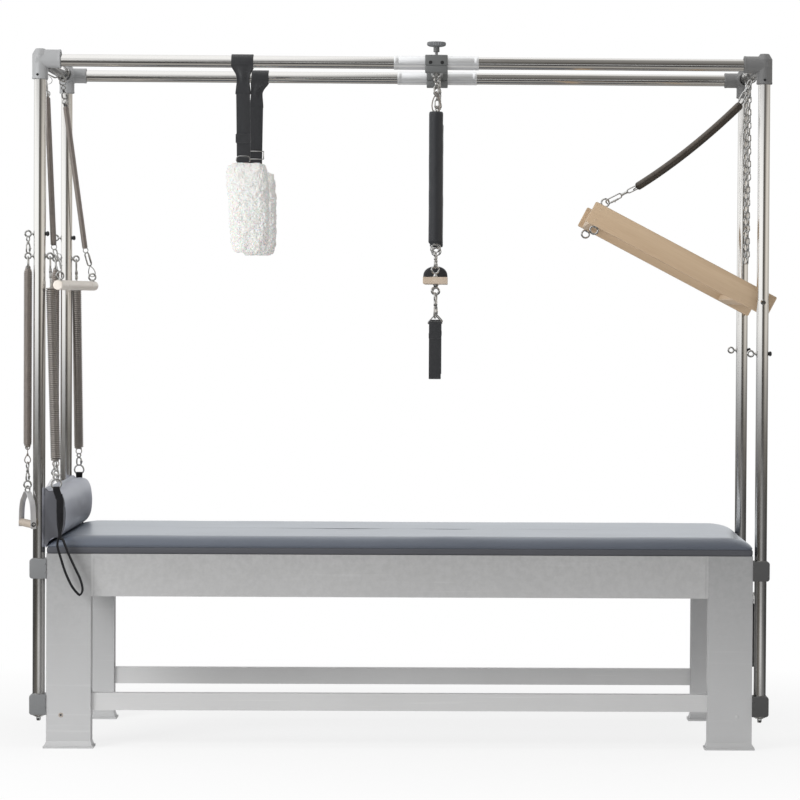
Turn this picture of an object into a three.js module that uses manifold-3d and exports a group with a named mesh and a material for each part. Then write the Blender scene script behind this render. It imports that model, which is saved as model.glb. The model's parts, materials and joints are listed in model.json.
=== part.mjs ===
// Trapeze table: a padded bench in a four-poster tube frame with sprung bars, loops and a sliding trapeze.
// Millimetres. X runs along the table to the right, Y from the near side to the rear, Z up from the floor.
import * as THREE from 'three';
import * as BufferGeometryUtils from 'three/addons/utils/BufferGeometryUtils.js';
import Module from 'manifold-3d';

const wasm = await Module();
wasm.setup();

// Clearances
const REST_GAP = 0.3;
const HANG_GAP = 0.6;
const CUT_OVERRUN = 5;

// Faceting
const TUBE_SIDES = 12;
const ROD_SIDES = 6;
const GRIP_SIDES = 10;
const SOFT_TUBE_SIDES = 10;
const BEND_STEPS = 5;
const CHAIN_BEND_STEPS = 3;
const CLAMP_CORNER_STEPS = 3;
const CHAIN_SIDES = 3;
const RING_STEPS = 8;
const RING_SIDES = 4;

// Bench frame
const BENCH_LENGTH = 2196;
const BENCH_WIDTH = 686;
const BENCH_HEIGHT = 605;
const LEG_WIDTH = 138;
const LEG_DEPTH = 50;
const FRAME_WALL = 4;
const PLATE_THICKNESS = 6;
const PLATE_OVERHANG = 9;
const WELD_REACH = 6;
const WELD_RISE = 16;
const RAIL_HEIGHT = 132;
const STRETCHER_HEIGHT = 54;
const STRETCHER_DEPTH = 25;
const STRETCHER_BOTTOM = 117;
const LEG_HOLE_DIAMETER = 7;
const LEG_HOLE_HEIGHT = 103;
const LEG_HOLE_INSET = 46;

// Mat
const MAT_THICKNESS = 55;
const MAT_BAND = 20;
const MAT_END_FALL_LENGTH = 94;
const MAT_SIDE_FALL_LENGTH = 46;
const MAT_EDGE_INSET = 2;
const MAT_SEAM_DEPTH = 3;

// End bolster
const BOLSTER_DEPTH = 66;
const BOLSTER_RISE = 141;
const BOLSTER_END_BULGE = 9;

// Posts and overhead tubes
const TUBE_DIAMETER = 38;
const TUBE_WALL = 2;
const POST_OUTSET = 26;
const POST_INSET = 23;
const TUBE_HEIGHT = 2134;
const FOOT_CLAMP_BOTTOM = 103;
const FOOT_CLAMP_HEIGHT = 64;
const HEAD_CLAMP_DROP = 78;
const HEAD_CLAMP_HEIGHT = 62;
const CLAMP_WALL = 7;
const CLAMP_CORNER = 9;
const FOOT_BOLT_DIAMETER = 14;
const FOOT_BOLT_LENGTH = 16;

// Corner castings
const SOCKET_WALL = 6;
const SOCKET_REACH_X = 65;
const SOCKET_REACH_Y = 65;
const SOCKET_REACH_DOWN = 59;
const CASTING_RISE = 37;
const CASTING_CHAMFER = 12;
const SOCKET_CORE = 3;
const SET_SCREW_DIAMETER = 6;

// Eyebolts
const EYE_RADIUS = 9;
const EYE_WIRE = 3;
const EYE_STANDOFF = 5;
const EYE_INNER_TUCK = 3;
const EYE_ROD = 3.5;
const CAP_NUT_RADIUS = 6;
const CAP_NUT_LENGTH = 10;
const EYE_UPPER_SHARE = 0.64879;
const EYE_SPACING = 69;
const EYE_RIGHT_SHARE = 0.41334;

// Sliding carriage
const CARRIAGE_X = 103;
const SLEEVE_LENGTH = 263;
const SLEEVE_WALL = 2;
const BLOCK_LENGTH = 70;
const BLOCK_COVER = 2.7;
const BLOCK_FOOT = 8.7;
const BLOCK_WALL = 5.7;
const BLOCK_SPLIT = 1.2;
const BLOCK_SPLIT_DEPTH = 2;
const BLOCK_SCREW_DIAMETER = 9;
const BLOCK_SCREW_SPACING = 36;
const KNOB_DIAMETER = 59;
const KNOB_THICKNESS = 15;
const KNOB_LOBES = 8;
const KNOB_LOBE_DEPTH = 2.5;
const KNOB_HUB_DIAMETER = 19;
const KNOB_HUB_LENGTH = 17;
const KNOB_SCREW_DIAMETER = 10;
const KNOB_RISE = 10;
const CARRIAGE_EYE_DROP = 11;

// Trapeze
const TRAPEZE_PAD_DROP = 150;
const TRAPEZE_PAD_CLEARANCE = 103;
const TRAPEZE_PAD_DIAMETER = 44;
const SNAP_PLAY = 3.6;
const SNAP_WIRE = 2.6;
const BOARD_SHARE = 0.56573;
const BOARD_THICKNESS = 21;
const BOARD_WIDTH = 77;
const BOARD_END = 25;
const BOARD_PAD_HEIGHT = 34;
const BOARD_PAD_INSET = 35;
const BOARD_EYE_RADIUS = 11;
const PAD_ROUND_SHARE = 0.8;
const HAND_LOOP_DROP = 134;
const HAND_LOOP_LENGTH = 184;
const WEBBING_WIDTH = 38;
const WEBBING_THICKNESS = 3;
const LOOP_OPENING = 26;

// Fleece loops
const FLEECE_X = -482;
const FLEECE_STRAP_OFFSET = 14;
const FLEECE_DROP = 314;
const FLEECE_LENGTH = 279;
const FLEECE_WIDTH = 136;
const FLEECE_DEPTH = 76;
const COLLAR_START = -27 * Math.PI / 180;
const BUCKLE_RISE = 71;
const BUCKLE_WIDTH = 46;
const BUCKLE_HEIGHT = 25;

// Roll-down springs and bar
const ROLL_HOOK_INSET = 120;
const ROLL_SPRING_DIAMETER = 19;
const ROLL_TOP_INWARD = 9;
const ROLL_TOP_SPREAD = 22;
const ROLL_TOP_DROP = 109;
const ROLL_BOTTOM_OUTWARD = 22;
const ROLL_BOTTOM_INSET = 6;
const ROLL_BOTTOM_SHARE = 0.6259;
const ROLL_BAR_INWARD = 32;
const ROLL_BAR_SKEW = 20;
const ROLL_BAR_SHARE = 0.5448;
const ROLL_BAR_DIAMETER = 31;
const ROLL_BAR_END = 40;
const ROLL_BAR_EYE_OUTSET = 10;
const ROLL_BAR_GROOVE = 1.5;
const ROLL_BAR_GROOVE_WIDTH = 6;
const ROLL_BAR_GROOVE_INSET = 85;
const HOOK_BAND_WIDTH = 16;
const HOOK_BAND_THICKNESS = 3;

// Arm springs and stirrup handles
const ARM_SPRING_DIAMETER = 27;
const ARM_SPRING_DROP = 38;
const ARM_LINKS_LENGTH = 116;
const ARM_SPRING_NECK = 14;
const ARM_RING_RISE = 22;
const HANDLE_GRIP_LENGTH = 112;
const HANDLE_GRIP_DIAMETER = 24;
const HANDLE_SHARE = 0.06017;
const HANDLE_STRIP_WIDTH = 18;
const HANDLE_STRIP_THICKNESS = 3;
const HANDLE_HEIGHT = 99;
const HANDLE_SHOULDER_DROP = 26;
const HANDLE_SHOULDER_WIDTH = 62;
const HANDLE_YAW = 26 * Math.PI / 180;

// Leg springs and foot loops
const LEG_SPRING_DIAMETER = 32;
const LEG_SPRING_WIRE = 8;
const LEG_SPRING_TURNS = 19;
const LEG_SPRING_DROP = 114;
const LEG_SPRING_LENGTH_SHARE = 0.3414;
const LEG_SPRING_LEAN_X_NEAR = 30;
const LEG_SPRING_LEAN_X_REAR = 4;
const LEG_SPRING_LEAN_Y = 62;
const LEG_SNAP_DROP = 86;
const FOOT_STRAP_WIDTH = 20;
const FOOT_STRAP_LENGTH = 96;
const FOOT_LOOP_LENGTH = 229;
const FOOT_LOOP_SWAY = 78;
const CURL_STEPS = 8;
const CURL_SIDES = 5;

// Push-through frame
const PUSH_ARM_LENGTH = 641;
const PUSH_ARM_WIDTH = 70;
const PUSH_ARM_THICKNESS = 20;
const PUSH_ARM_ANGLE = 27.6 * Math.PI / 180;
const PUSH_ARM_TAIL = 36;
const PUSH_PIVOT_SHARE = 0.51864;
const PUSH_SIDE_GAP = 3;
const PUSH_CROSS_THICKNESS = 20;
const PUSH_CROSS_INSET = 14;
const PUSH_TENON = 4;
const PUSH_HEEL_INSET = 560;
const PUSH_HEEL_WIDTH = 34;
const PUSH_EYE_INSET = 36;
const PUSH_EYE_RISE = 24;
const PIVOT_PIN_RADIUS = 5;
const PUSH_SPRING_DIAMETER = 28;
const PUSH_SPRING_TOP_INWARD = 41;
const PUSH_SPRING_TOP_DROP = 99;
const PUSH_SNAP_OUTWARD = 100;
const PUSH_SNAP_RISE = 51;
const PUSH_SPRING_SAG = 11;

// Chain
const CHAIN_Y = 120;
const CHAIN_LENGTH = 614;
const CHAIN_LINK_LENGTH = 66;
const CHAIN_LINK_WIDTH = 15;
const CHAIN_WIRE = 2.4;
const CHAIN_STRAND_SPACING = 15;

// End strap
const END_STRAP_INSET = 88;
const END_STRAP_LENGTH = 229;
const END_STRAP_THICKNESS = 4;
const END_STRAP_STUD_RISE = 7;
const END_STRAP_STUD_LENGTH = 11;
const END_STRAP_HEAD_DIAMETER = 12;
const END_STRAP_HEAD_THICKNESS = 3;
const END_STRAP_RING = 19;
const END_STRAP_RING_WIRE = 1.5;
const END_STRAP_STANDOFF = 5;

// Worked-out places
const BENCH_END = BENCH_LENGTH / 2;
const BENCH_SIDE = BENCH_WIDTH / 2;
const POST_X = BENCH_END + POST_OUTSET;
const POST_Y = BENCH_SIDE - POST_INSET;
const TUBE_RADIUS = TUBE_DIAMETER / 2;
const SOCKET_RADIUS = TUBE_RADIUS + SOCKET_WALL;
const SOCKET_STOP = TUBE_RADIUS + SOCKET_CORE;
const BORE_RADIUS = TUBE_RADIUS + REST_GAP;
const BAND_RADIUS = TUBE_RADIUS / Math.cos(Math.PI / TUBE_SIDES) + REST_GAP;
const POST_RISE = TUBE_HEIGHT - BENCH_HEIGHT;
const heightAt = (share) => BENCH_HEIGHT + share * POST_RISE;
const HEAD_CLAMP_BOTTOM = BENCH_HEIGHT - HEAD_CLAMP_DROP;
const EYE_HEIGHT_UPPER = heightAt(EYE_UPPER_SHARE);
const EYE_HEIGHT_LOWER = EYE_HEIGHT_UPPER - EYE_SPACING;
const EYE_HEIGHT_RIGHT = heightAt(EYE_RIGHT_SHARE);
const SNAP_WIDTH = 2 * EYE_WIRE + 4 * SNAP_WIRE + SNAP_PLAY;
const EYE_REACH = TUBE_RADIUS + HANDLE_GRIP_DIAMETER / 2 + EYE_STANDOFF;
const EYE_REACH_INNER = TUBE_RADIUS + LEG_SPRING_DIAMETER / 2 - EYE_INNER_TUCK;
const SLEEVE_RADIUS = TUBE_RADIUS + REST_GAP + SLEEVE_WALL;
const BLOCK_TOP = TUBE_HEIGHT + SLEEVE_RADIUS + BLOCK_COVER;
const BLOCK_BOTTOM = TUBE_HEIGHT - SLEEVE_RADIUS - BLOCK_FOOT;
const BLOCK_DEPTH = 2 * (SLEEVE_RADIUS + BLOCK_WALL);
const BLOCK_HEIGHT = BLOCK_TOP - BLOCK_BOTTOM;
const CARRIAGE_EYE_HEIGHT = BLOCK_BOTTOM - CARRIAGE_EYE_DROP;
const BOARD_TOP = heightAt(BOARD_SHARE);
const BOARD_HALF = POST_Y + BOARD_END;
const BOARD_PAD_HALF = POST_Y - BOARD_PAD_INSET;
const BOARD_EYE_LOW = BOARD_TOP - BOARD_THICKNESS - 2 * BOARD_EYE_RADIUS;
const TRAPEZE_PAD_TOP = TUBE_HEIGHT - TRAPEZE_PAD_DROP;
const TRAPEZE_PAD_BOTTOM = BOARD_TOP + TRAPEZE_PAD_CLEARANCE;
const HAND_LOOP_TOP = BOARD_TOP - HAND_LOOP_DROP;
const FLEECE_STRAP_X = FLEECE_X - FLEECE_STRAP_OFFSET;
const FLEECE_TOP = TUBE_HEIGHT - FLEECE_DROP;
const FLEECE_BOTTOM = FLEECE_TOP - FLEECE_LENGTH;
const ROLL_HOOK_Y = POST_Y - ROLL_HOOK_INSET;
const ROLL_BAR_HEIGHT = heightAt(ROLL_BAR_SHARE);
const ROLL_BAR_EYE_Y = POST_Y + ROLL_BAR_EYE_OUTSET;
const ROLL_BAR_X_NEAR = EYE_REACH_INNER + ROLL_BAR_INWARD - POST_X;
const ROLL_BAR_X_REAR = ROLL_BAR_X_NEAR + ROLL_BAR_SKEW;
const ROLL_BOTTOM_HEIGHT = heightAt(ROLL_BOTTOM_SHARE);
const HANDLE_GRIP_HEIGHT = heightAt(HANDLE_SHARE);
const HANDLE_TOP_HEIGHT = HANDLE_GRIP_HEIGHT + HANDLE_HEIGHT;
const ARM_RING_HEIGHT = HANDLE_TOP_HEIGHT + ARM_RING_RISE;
const ARM_SPRING_BOTTOM = ARM_RING_HEIGHT + ARM_LINKS_LENGTH;
const ARM_SPRING_TOP = EYE_HEIGHT_LOWER - ARM_SPRING_DROP;
const LEG_SPRING_TOP = EYE_HEIGHT_LOWER - LEG_SPRING_DROP;
const LEG_SPRING_BOTTOM = LEG_SPRING_TOP - LEG_SPRING_LENGTH_SHARE * POST_RISE;
const LEG_SNAP_BOTTOM = LEG_SPRING_BOTTOM - LEG_SNAP_DROP;
const FOOT_STRAP_FORK = LEG_SNAP_BOTTOM - FOOT_STRAP_LENGTH;
const FOOT_LOOP_BOTTOM = FOOT_STRAP_FORK - FOOT_LOOP_LENGTH;
const PUSH_PIVOT_HEIGHT = heightAt(PUSH_PIVOT_SHARE);
const END_STRAP_Y = END_STRAP_INSET - BENCH_SIDE;
const END_STRAP_STUD_HEIGHT = BENCH_HEIGHT - RAIL_HEIGHT + END_STRAP_STUD_RISE;
const END_STRAP_BOTTOM = END_STRAP_STUD_HEIGHT - END_STRAP_LENGTH;
const SIDES = [['near', -1], ['rear', 1]];
const ENDS = [['left', -1], ['right', 1]];

// Colours and finishes
const finish = (color, roughness, metalness) => (
  new THREE.MeshStandardMaterial({ color, roughness, metalness })
);
const brushedAluminium = finish(0xb4b4b4, 0.45, 0.8);
const polishedSteel = finish(0xa8a6a0, 0.2, 1);
const castGrey = finish(0x8c8e90, 0.6, 0.3);
const chrome = finish(0xd0d0d0, 0.1, 1);
const anodised = finish(0xc4c6c9, 0.35, 0.7);
const springSteel = finish(0x5b5350, 0.5, 0.6);
const greyVinyl = finish(0x70727c, 0.55, 0);
const blackPad = finish(0x2a2a2c, 0.7, 0);
const blackWebbing = finish(0x1f2023, 0.85, 0);
const whiteFleece = finish(0xecebe8, 1, 0);
const paleWood = finish(0xd9cbb8, 0.6, 0);
const beech = finish(0xb8997c, 0.6, 0);
const blackPlastic = finish(0x55575a, 0.5, 0.2);

const table = new THREE.Group();

function place(name, geometry, material, parent = table) {
  const mesh = new THREE.Mesh(geometry, material);
  mesh.name = name;
  parent.add(mesh);
  return mesh;
}

// Closed meshes to solids and back
function solid(geometry) {
  const plain = geometry.clone();
  for (const key of Object.keys(plain.attributes)) {
    if (key !== 'position') plain.deleteAttribute(key);
  }
  const merged = BufferGeometryUtils.mergeVertices(plain, 1e-4);
  const mesh = new wasm.Mesh({
    numProp: 3,
    vertProperties: new Float32Array(merged.attributes.position.array),
    triVerts: new Uint32Array(merged.index.array),
  });
  return new wasm.Manifold(mesh);
}

function skin(body) {
  const mesh = body.getMesh();
  const geometry = new THREE.BufferGeometry();
  geometry.setAttribute('position', new THREE.BufferAttribute(new Float32Array(mesh.vertProperties), 3));
  geometry.setIndex(new THREE.BufferAttribute(new Uint32Array(mesh.triVerts), 1));
  geometry.computeVertexNormals();
  return geometry;
}

function shape(adds, cuts = []) {
  let body = solid(adds[0]);
  for (const piece of adds.slice(1)) body = body.add(solid(piece));
  for (const piece of cuts) body = body.subtract(solid(piece));
  return skin(body);
}

// Box between two opposite corners
function block(low, high) {
  const geometry = new THREE.BoxGeometry(high[0] - low[0], high[1] - low[1], high[2] - low[2]);
  return geometry.translate((low[0] + high[0]) / 2, (low[1] + high[1]) / 2, (low[2] + high[2]) / 2);
}

// Box whose lower face reaches out past its upper one on all four sides
function skirt(low, high, reach) {
  const footLow = [low[0] - reach, low[1] - reach, low[2]];
  const footHigh = [high[0] + reach, high[1] + reach, high[2]];
  const geometry = block(footLow, footHigh);
  const corners = geometry.attributes.position;
  for (let i = 0; i < corners.count; i += 1) {
    if (corners.getZ(i) > (low[2] + high[2]) / 2) {
      corners.setX(i, Math.min(Math.max(corners.getX(i), low[0]), high[0]));
      corners.setY(i, Math.min(Math.max(corners.getY(i), low[1]), high[1]));
    }
  }
  return geometry;
}

// Round bar between two points, with its own radius at each end
function rod(start, end, radius, sides = ROD_SIDES, endRadius = radius) {
  const from = new THREE.Vector3(...start);
  const to = new THREE.Vector3(...end);
  const along = to.clone().sub(from);
  const geometry = new THREE.CylinderGeometry(endRadius, radius, along.length(), sides);
  const up = new THREE.Vector3(0, 1, 0);
  geometry.applyQuaternion(new THREE.Quaternion().setFromUnitVectors(up, along.clone().normalize()));
  const middle = from.add(to).multiplyScalar(1 / 2);
  return geometry.translate(middle.x, middle.y, middle.z);
}

// Ring of wire round an axis through its middle
function ring(centre, axis, radius, wire, steps = RING_STEPS, sides = RING_SIDES) {
  const geometry = new THREE.TorusGeometry(radius, wire, sides, steps);
  const up = new THREE.Vector3(0, 0, 1);
  geometry.applyQuaternion(new THREE.Quaternion().setFromUnitVectors(up, new THREE.Vector3(...axis)));
  return geometry.translate(...centre);
}

// Tube of wire along a list of points, closed into a loop or ended flat
function wire(points, radius, sides, closed) {
  const count = points.length;
  const positions = [];
  const indices = [];
  const tangentAt = (i) => {
    const before = closed ? points[(i + count - 1) % count] : points[Math.max(i - 1, 0)];
    const after = closed ? points[(i + 1) % count] : points[Math.min(i + 1, count - 1)];
    return after.clone().sub(before).normalize();
  };
  let tangent = tangentAt(0);
  let side = new THREE.Vector3(0, 1, 0).cross(tangent);
  if (side.lengthSq() < 1 / 10) side = new THREE.Vector3(1, 0, 0).cross(tangent);
  side.normalize();
  for (let i = 0; i < count; i += 1) {
    const next = tangentAt(i);
    side.applyQuaternion(new THREE.Quaternion().setFromUnitVectors(tangent, next));
    side.addScaledVector(next, -side.dot(next)).normalize();
    tangent = next;
    const up = next.clone().cross(side);
    for (let k = 0; k < sides; k += 1) {
      const angle = 2 * Math.PI * k / sides;
      const point = points[i].clone();
      point.addScaledVector(side, radius * Math.cos(angle));
      point.addScaledVector(up, radius * Math.sin(angle));
      positions.push(point.x, point.y, point.z);
    }
  }
  const steps = closed ? count : count - 1;
  for (let i = 0; i < steps; i += 1) {
    for (let k = 0; k < sides; k += 1) {
      const a = i * sides + k;
      const b = i * sides + (k + 1) % sides;
      const c = ((i + 1) % count) * sides + k;
      const d = ((i + 1) % count) * sides + (k + 1) % sides;
      indices.push(a, b, d, a, d, c);
    }
  }
  if (!closed) {
    for (let k = 1; k < sides - 1; k += 1) {
      const last = (count - 1) * sides;
      indices.push(0, k + 1, k, last, last + k, last + k + 1);
    }
  }
  const geometry = new THREE.BufferGeometry();
  geometry.setAttribute('position', new THREE.Float32BufferAttribute(positions, 3));
  geometry.setIndex(indices);
  return geometry;
}

// Long oval link between two end points, lying in the plane of its width direction
function link(top, bottom, width, wireRadius, across, steps = BEND_STEPS, sides = RING_SIDES) {
  const from = new THREE.Vector3(...top);
  const to = new THREE.Vector3(...bottom);
  const along = to.clone().sub(from).normalize();
  const flat = new THREE.Vector3(...across);
  flat.addScaledVector(along, -flat.dot(along)).normalize();
  const bend = width / 2 - wireRadius;
  const points = [];
  for (const [end, sign] of [[from, -1], [to, 1]]) {
    const centre = end.clone().addScaledVector(along, -sign * (bend + wireRadius));
    for (let i = 0; i < steps; i += 1) {
      const angle = Math.PI * i / (steps - 1);
      const point = centre.clone();
      point.addScaledVector(flat, -sign * bend * Math.cos(angle));
      point.addScaledVector(along, sign * bend * Math.sin(angle));
      points.push(point);
    }
  }
  return wire(points, wireRadius, sides, true);
}

// Oblong ring with a flat top and bottom for webbing, between two end points
function slotRing(top, bottom, width, wireRadius, across) {
  const from = new THREE.Vector3(...top);
  const to = new THREE.Vector3(...bottom);
  const length = from.distanceTo(to) - 2 * wireRadius;
  const along = to.clone().sub(from).normalize();
  const flat = new THREE.Vector3(...across);
  flat.addScaledVector(along, -flat.dot(along)).normalize();
  const half = width / 2 - wireRadius;
  const corner = 2 * wireRadius;
  const outline = [
    [corner - half, 0], [half - corner, 0], [half, corner], [half, length - corner],
    [half - corner, length], [corner - half, length], [-half, length - corner], [-half, corner],
  ];
  const points = outline.map(([a, b]) => {
    const point = from.clone().addScaledVector(along, wireRadius + b);
    return point.addScaledVector(flat, a);
  });
  return wire(points, wireRadius, RING_SIDES, true);
}

// Round tube with an open bore between two points
function pipe(start, end, outer, inner, sides = TUBE_SIDES) {
  const from = new THREE.Vector3(...start);
  const to = new THREE.Vector3(...end);
  const along = to.clone().sub(from).normalize().multiplyScalar(CUT_OVERRUN);
  const cut = rod(from.clone().sub(along).toArray(), to.clone().add(along).toArray(), inner, sides);
  return shape([rod(start, end, outer, sides)], [cut]);
}

// Solid of a flat outline in X and Z, carried along Y between two places
function slab(outline, low, high, hole) {
  const flat = new THREE.Shape(outline.map(([x, z]) => new THREE.Vector2(x, z)));
  if (hole) flat.holes.push(new THREE.Path(hole.map(([x, z]) => new THREE.Vector2(x, z))));
  const geometry = new THREE.ExtrudeGeometry(flat, { depth: high - low, bevelEnabled: false, steps: 1 });
  geometry.rotateX(Math.PI / 2);
  return geometry.translate(0, high, 0);
}

// Band of even thickness that follows a closed row of places, as an outline and its hole
function bandOutlines(places, thickness) {
  const count = places.length;
  const shifted = (distance) => places.map(([x, z], i) => {
    const [px, pz] = places[(i + count - 1) % count];
    const [nx, nz] = places[(i + 1) % count];
    const length = Math.hypot(nx - px, nz - pz);
    return [x + distance * (nz - pz) / length, z - distance * (nx - px) / length];
  });
  return [shifted(thickness / 2), shifted(-thickness / 2)];
}

// Bench frame
function buildLeg(side, endSign, sideSign) {
  const xs = [endSign * (BENCH_END - LEG_WIDTH), endSign * BENCH_END].sort((a, b) => a - b);
  const ys = [sideSign * (BENCH_SIDE - LEG_DEPTH), sideSign * BENCH_SIDE].sort((a, b) => a - b);
  const post = block([xs[0], ys[0], PLATE_THICKNESS / 2], [xs[1], ys[1], BENCH_HEIGHT]);
  const weldTop = PLATE_THICKNESS + WELD_RISE;
  const weld = skirt([xs[0], ys[0], PLATE_THICKNESS / 2], [xs[1], ys[1], weldTop], WELD_REACH);
  const plate = block(
    [xs[0] - PLATE_OVERHANG, ys[0] - PLATE_OVERHANG, 0],
    [xs[1] + PLATE_OVERHANG, ys[1] + PLATE_OVERHANG, PLATE_THICKNESS],
  );
  const hollow = block(
    [xs[0] + FRAME_WALL, ys[0] + FRAME_WALL, PLATE_THICKNESS],
    [xs[1] - FRAME_WALL, ys[1] - FRAME_WALL, BENCH_HEIGHT + CUT_OVERRUN],
  );
  const holeX = endSign * (BENCH_END - LEG_HOLE_INSET);
  const face = sideSign * BENCH_SIDE;
  const hole = rod(
    [holeX, face - CUT_OVERRUN, LEG_HOLE_HEIGHT],
    [holeX, face + CUT_OVERRUN, LEG_HOLE_HEIGHT],
    LEG_HOLE_DIAMETER / 2,
  );
  place(`leg_${side}`, shape([post, weld, plate], [hollow, hole]), brushedAluminium);
}

// Hollow beam between two opposite corners, open at both ends of one axis
function hollowBeam(low, high, axis) {
  const inLow = low.map((v, i) => (i === axis ? v - CUT_OVERRUN : v + FRAME_WALL));
  const inHigh = high.map((v, i) => (i === axis ? v + CUT_OVERRUN : v - FRAME_WALL));
  return shape([block(low, high)], [block(inLow, inHigh)]);
}

// Headed stud in the end rail that the end strap hangs on
function strapStud() {
  const from = BENCH_END - FRAME_WALL / 2;
  const head = BENCH_END + END_STRAP_STUD_LENGTH;
  const at = (x) => [x, END_STRAP_Y, END_STRAP_STUD_HEIGHT];
  return [
    rod(at(from), at(head), EYE_ROD),
    rod(at(head), at(head + END_STRAP_HEAD_THICKNESS), END_STRAP_HEAD_DIAMETER / 2),
  ];
}

function buildBench() {
  for (const [sideName, sy] of SIDES) {
    for (const [endName, sx] of ENDS) buildLeg(`${sideName}_${endName}`, sx, sy);
    const reach = BENCH_END - LEG_WIDTH - REST_GAP;
    const ys = [sy * (BENCH_SIDE - LEG_DEPTH), sy * BENCH_SIDE].sort((a, b) => a - b);
    const rail = hollowBeam([-reach, ys[0], BENCH_HEIGHT - RAIL_HEIGHT], [reach, ys[1], BENCH_HEIGHT], 0);
    place(`side_rail_${sideName}`, rail, brushedAluminium);
    const middle = sy * (BENCH_SIDE - LEG_DEPTH / 2);
    const stretcher = hollowBeam(
      [-reach, middle - STRETCHER_DEPTH / 2, STRETCHER_BOTTOM],
      [reach, middle + STRETCHER_DEPTH / 2, STRETCHER_BOTTOM + STRETCHER_HEIGHT],
      0,
    );
    place(`stretcher_${sideName}`, stretcher, brushedAluminium);
  }
  for (const [endName, sx] of ENDS) {
    const xs = [sx * (BENCH_END - LEG_DEPTH), sx * BENCH_END].sort((a, b) => a - b);
    const reach = BENCH_SIDE - LEG_DEPTH - REST_GAP;
    const rail = hollowBeam([xs[0], -reach, BENCH_HEIGHT - RAIL_HEIGHT], [xs[1], reach, BENCH_HEIGHT], 1);
    place(`end_rail_${endName}`, sx > 0 ? shape([rail, ...strapStud()]) : rail, brushedAluminium);
  }
}

// Mat: height of its crowned top over the bench, from the distance to the nearest end and side
const MAT_BOTTOM = BENCH_HEIGHT + REST_GAP;
const MAT_TOP = BENCH_HEIGHT + MAT_THICKNESS;

function fall(distance, length) {
  const share = Math.min(Math.max(distance / length, 0), 1);
  return Math.sqrt(1 - (1 - share) * (1 - share));
}

function matTop(x, y) {
  const end = fall(BENCH_END - Math.abs(x), MAT_END_FALL_LENGTH);
  const side = fall(BENCH_SIDE - Math.abs(y), MAT_SIDE_FALL_LENGTH);
  return MAT_BOTTOM + MAT_BAND + (MAT_TOP - MAT_BOTTOM - MAT_BAND) * end * side;
}

// Rows of points from the lower edge, over the seam and the band, to the crowned top
function buildMat() {
  const endShares = [0, 0.05, 0.18, 0.42, 0.75, 1];
  const xs = endShares.map((share) => -BENCH_END + share * MAT_END_FALL_LENGTH);
  const middleSteps = 4;
  const flatLength = BENCH_LENGTH - 2 * MAT_END_FALL_LENGTH;
  for (let i = 1; i < middleSteps; i += 1) {
    xs.push(-BENCH_END + MAT_END_FALL_LENGTH + flatLength * i / middleSteps);
  }
  xs.push(...endShares.map((share) => BENCH_END - share * MAT_END_FALL_LENGTH).reverse());
  const ys = endShares.map((share) => -BENCH_SIDE + share * MAT_SIDE_FALL_LENGTH);
  const crossSteps = 4;
  const flatWidth = BENCH_WIDTH - 2 * MAT_SIDE_FALL_LENGTH;
  for (let i = 1; i < crossSteps; i += 1) {
    ys.push(-BENCH_SIDE + MAT_SIDE_FALL_LENGTH + flatWidth * i / crossSteps);
  }
  ys.push(...endShares.map((share) => BENCH_SIDE - share * MAT_SIDE_FALL_LENGTH).reverse());
  const positions = [];
  const indices = [];
  const top = (i, j) => j * xs.length + i;
  ys.forEach((y) => xs.forEach((x) => positions.push(x, y, matTop(x, y))));
  for (let j = 0; j < ys.length - 1; j += 1) {
    for (let i = 0; i < xs.length - 1; i += 1) {
      indices.push(top(i, j), top(i + 1, j), top(i + 1, j + 1));
      indices.push(top(i, j), top(i + 1, j + 1), top(i, j + 1));
    }
  }
  const rim = [];
  for (let i = 0; i < xs.length - 1; i += 1) rim.push(top(i, 0));
  for (let j = 0; j < ys.length - 1; j += 1) rim.push(top(xs.length - 1, j));
  for (let i = xs.length - 1; i > 0; i -= 1) rim.push(top(i, ys.length - 1));
  for (let j = ys.length - 1; j > 0; j -= 1) rim.push(top(0, j));
  const levels = [
    [MAT_BOTTOM + MAT_BAND - MAT_SEAM_DEPTH, MAT_SEAM_DEPTH],
    [MAT_BOTTOM + MAT_BAND / 2, MAT_EDGE_INSET],
    [MAT_BOTTOM, MAT_SEAM_DEPTH],
  ];
  let previous = rim;
  for (const [height, inset] of levels) {
    const row = rim.map((index) => {
      const x = positions[3 * index];
      const y = positions[3 * index + 1];
      positions.push(x * (1 - inset / BENCH_END), y * (1 - inset / BENCH_SIDE), height);
      return positions.length / 3 - 1;
    });
    row.forEach((low, k) => {
      const next = (k + 1) % row.length;
      indices.push(previous[k], low, row[next], previous[k], row[next], previous[next]);
    });
    previous = row;
  }
  const centre = positions.length / 3;
  positions.push(0, 0, MAT_BOTTOM);
  previous.forEach((index, k) => indices.push(centre, previous[(k + 1) % previous.length], index));
  const geometry = new THREE.BufferGeometry();
  geometry.setAttribute('position', new THREE.Float32BufferAttribute(positions, 3));
  geometry.setIndex(indices);
  geometry.computeVertexNormals();
  place('mat', geometry, greyVinyl);
}

// Bolster: a flat back against the left posts, a round front, and a foot that follows the end of the mat
function bolsterOutline() {
  const back = -POST_X + TUBE_RADIUS + REST_GAP;
  const front = back + BOLSTER_DEPTH;
  const crest = MAT_TOP + BOLSTER_RISE;
  const footShares = [0, 0.25, 0.5, 0.72];
  const foot = footShares.map((share) => {
    const x = back + share * BOLSTER_DEPTH;
    return [x, matTop(Math.max(x, -BENCH_END), 0) + 2 * REST_GAP + MAT_SEAM_DEPTH];
  });
  const low = foot[foot.length - 1][1];
  const frontShares = [[0.93, 0.16], [1, 0.38], [1, 0.6], [0.93, 0.8]];
  const faceShares = [...frontShares, [0.76, 0.95], [0.5, 1], [0.2, 0.995], [0, 0.97]];
  const face = faceShares.map(([across, up]) => [back + across * (front - back), low + up * (crest - low)]);
  return [...foot, ...face];
}

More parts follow.
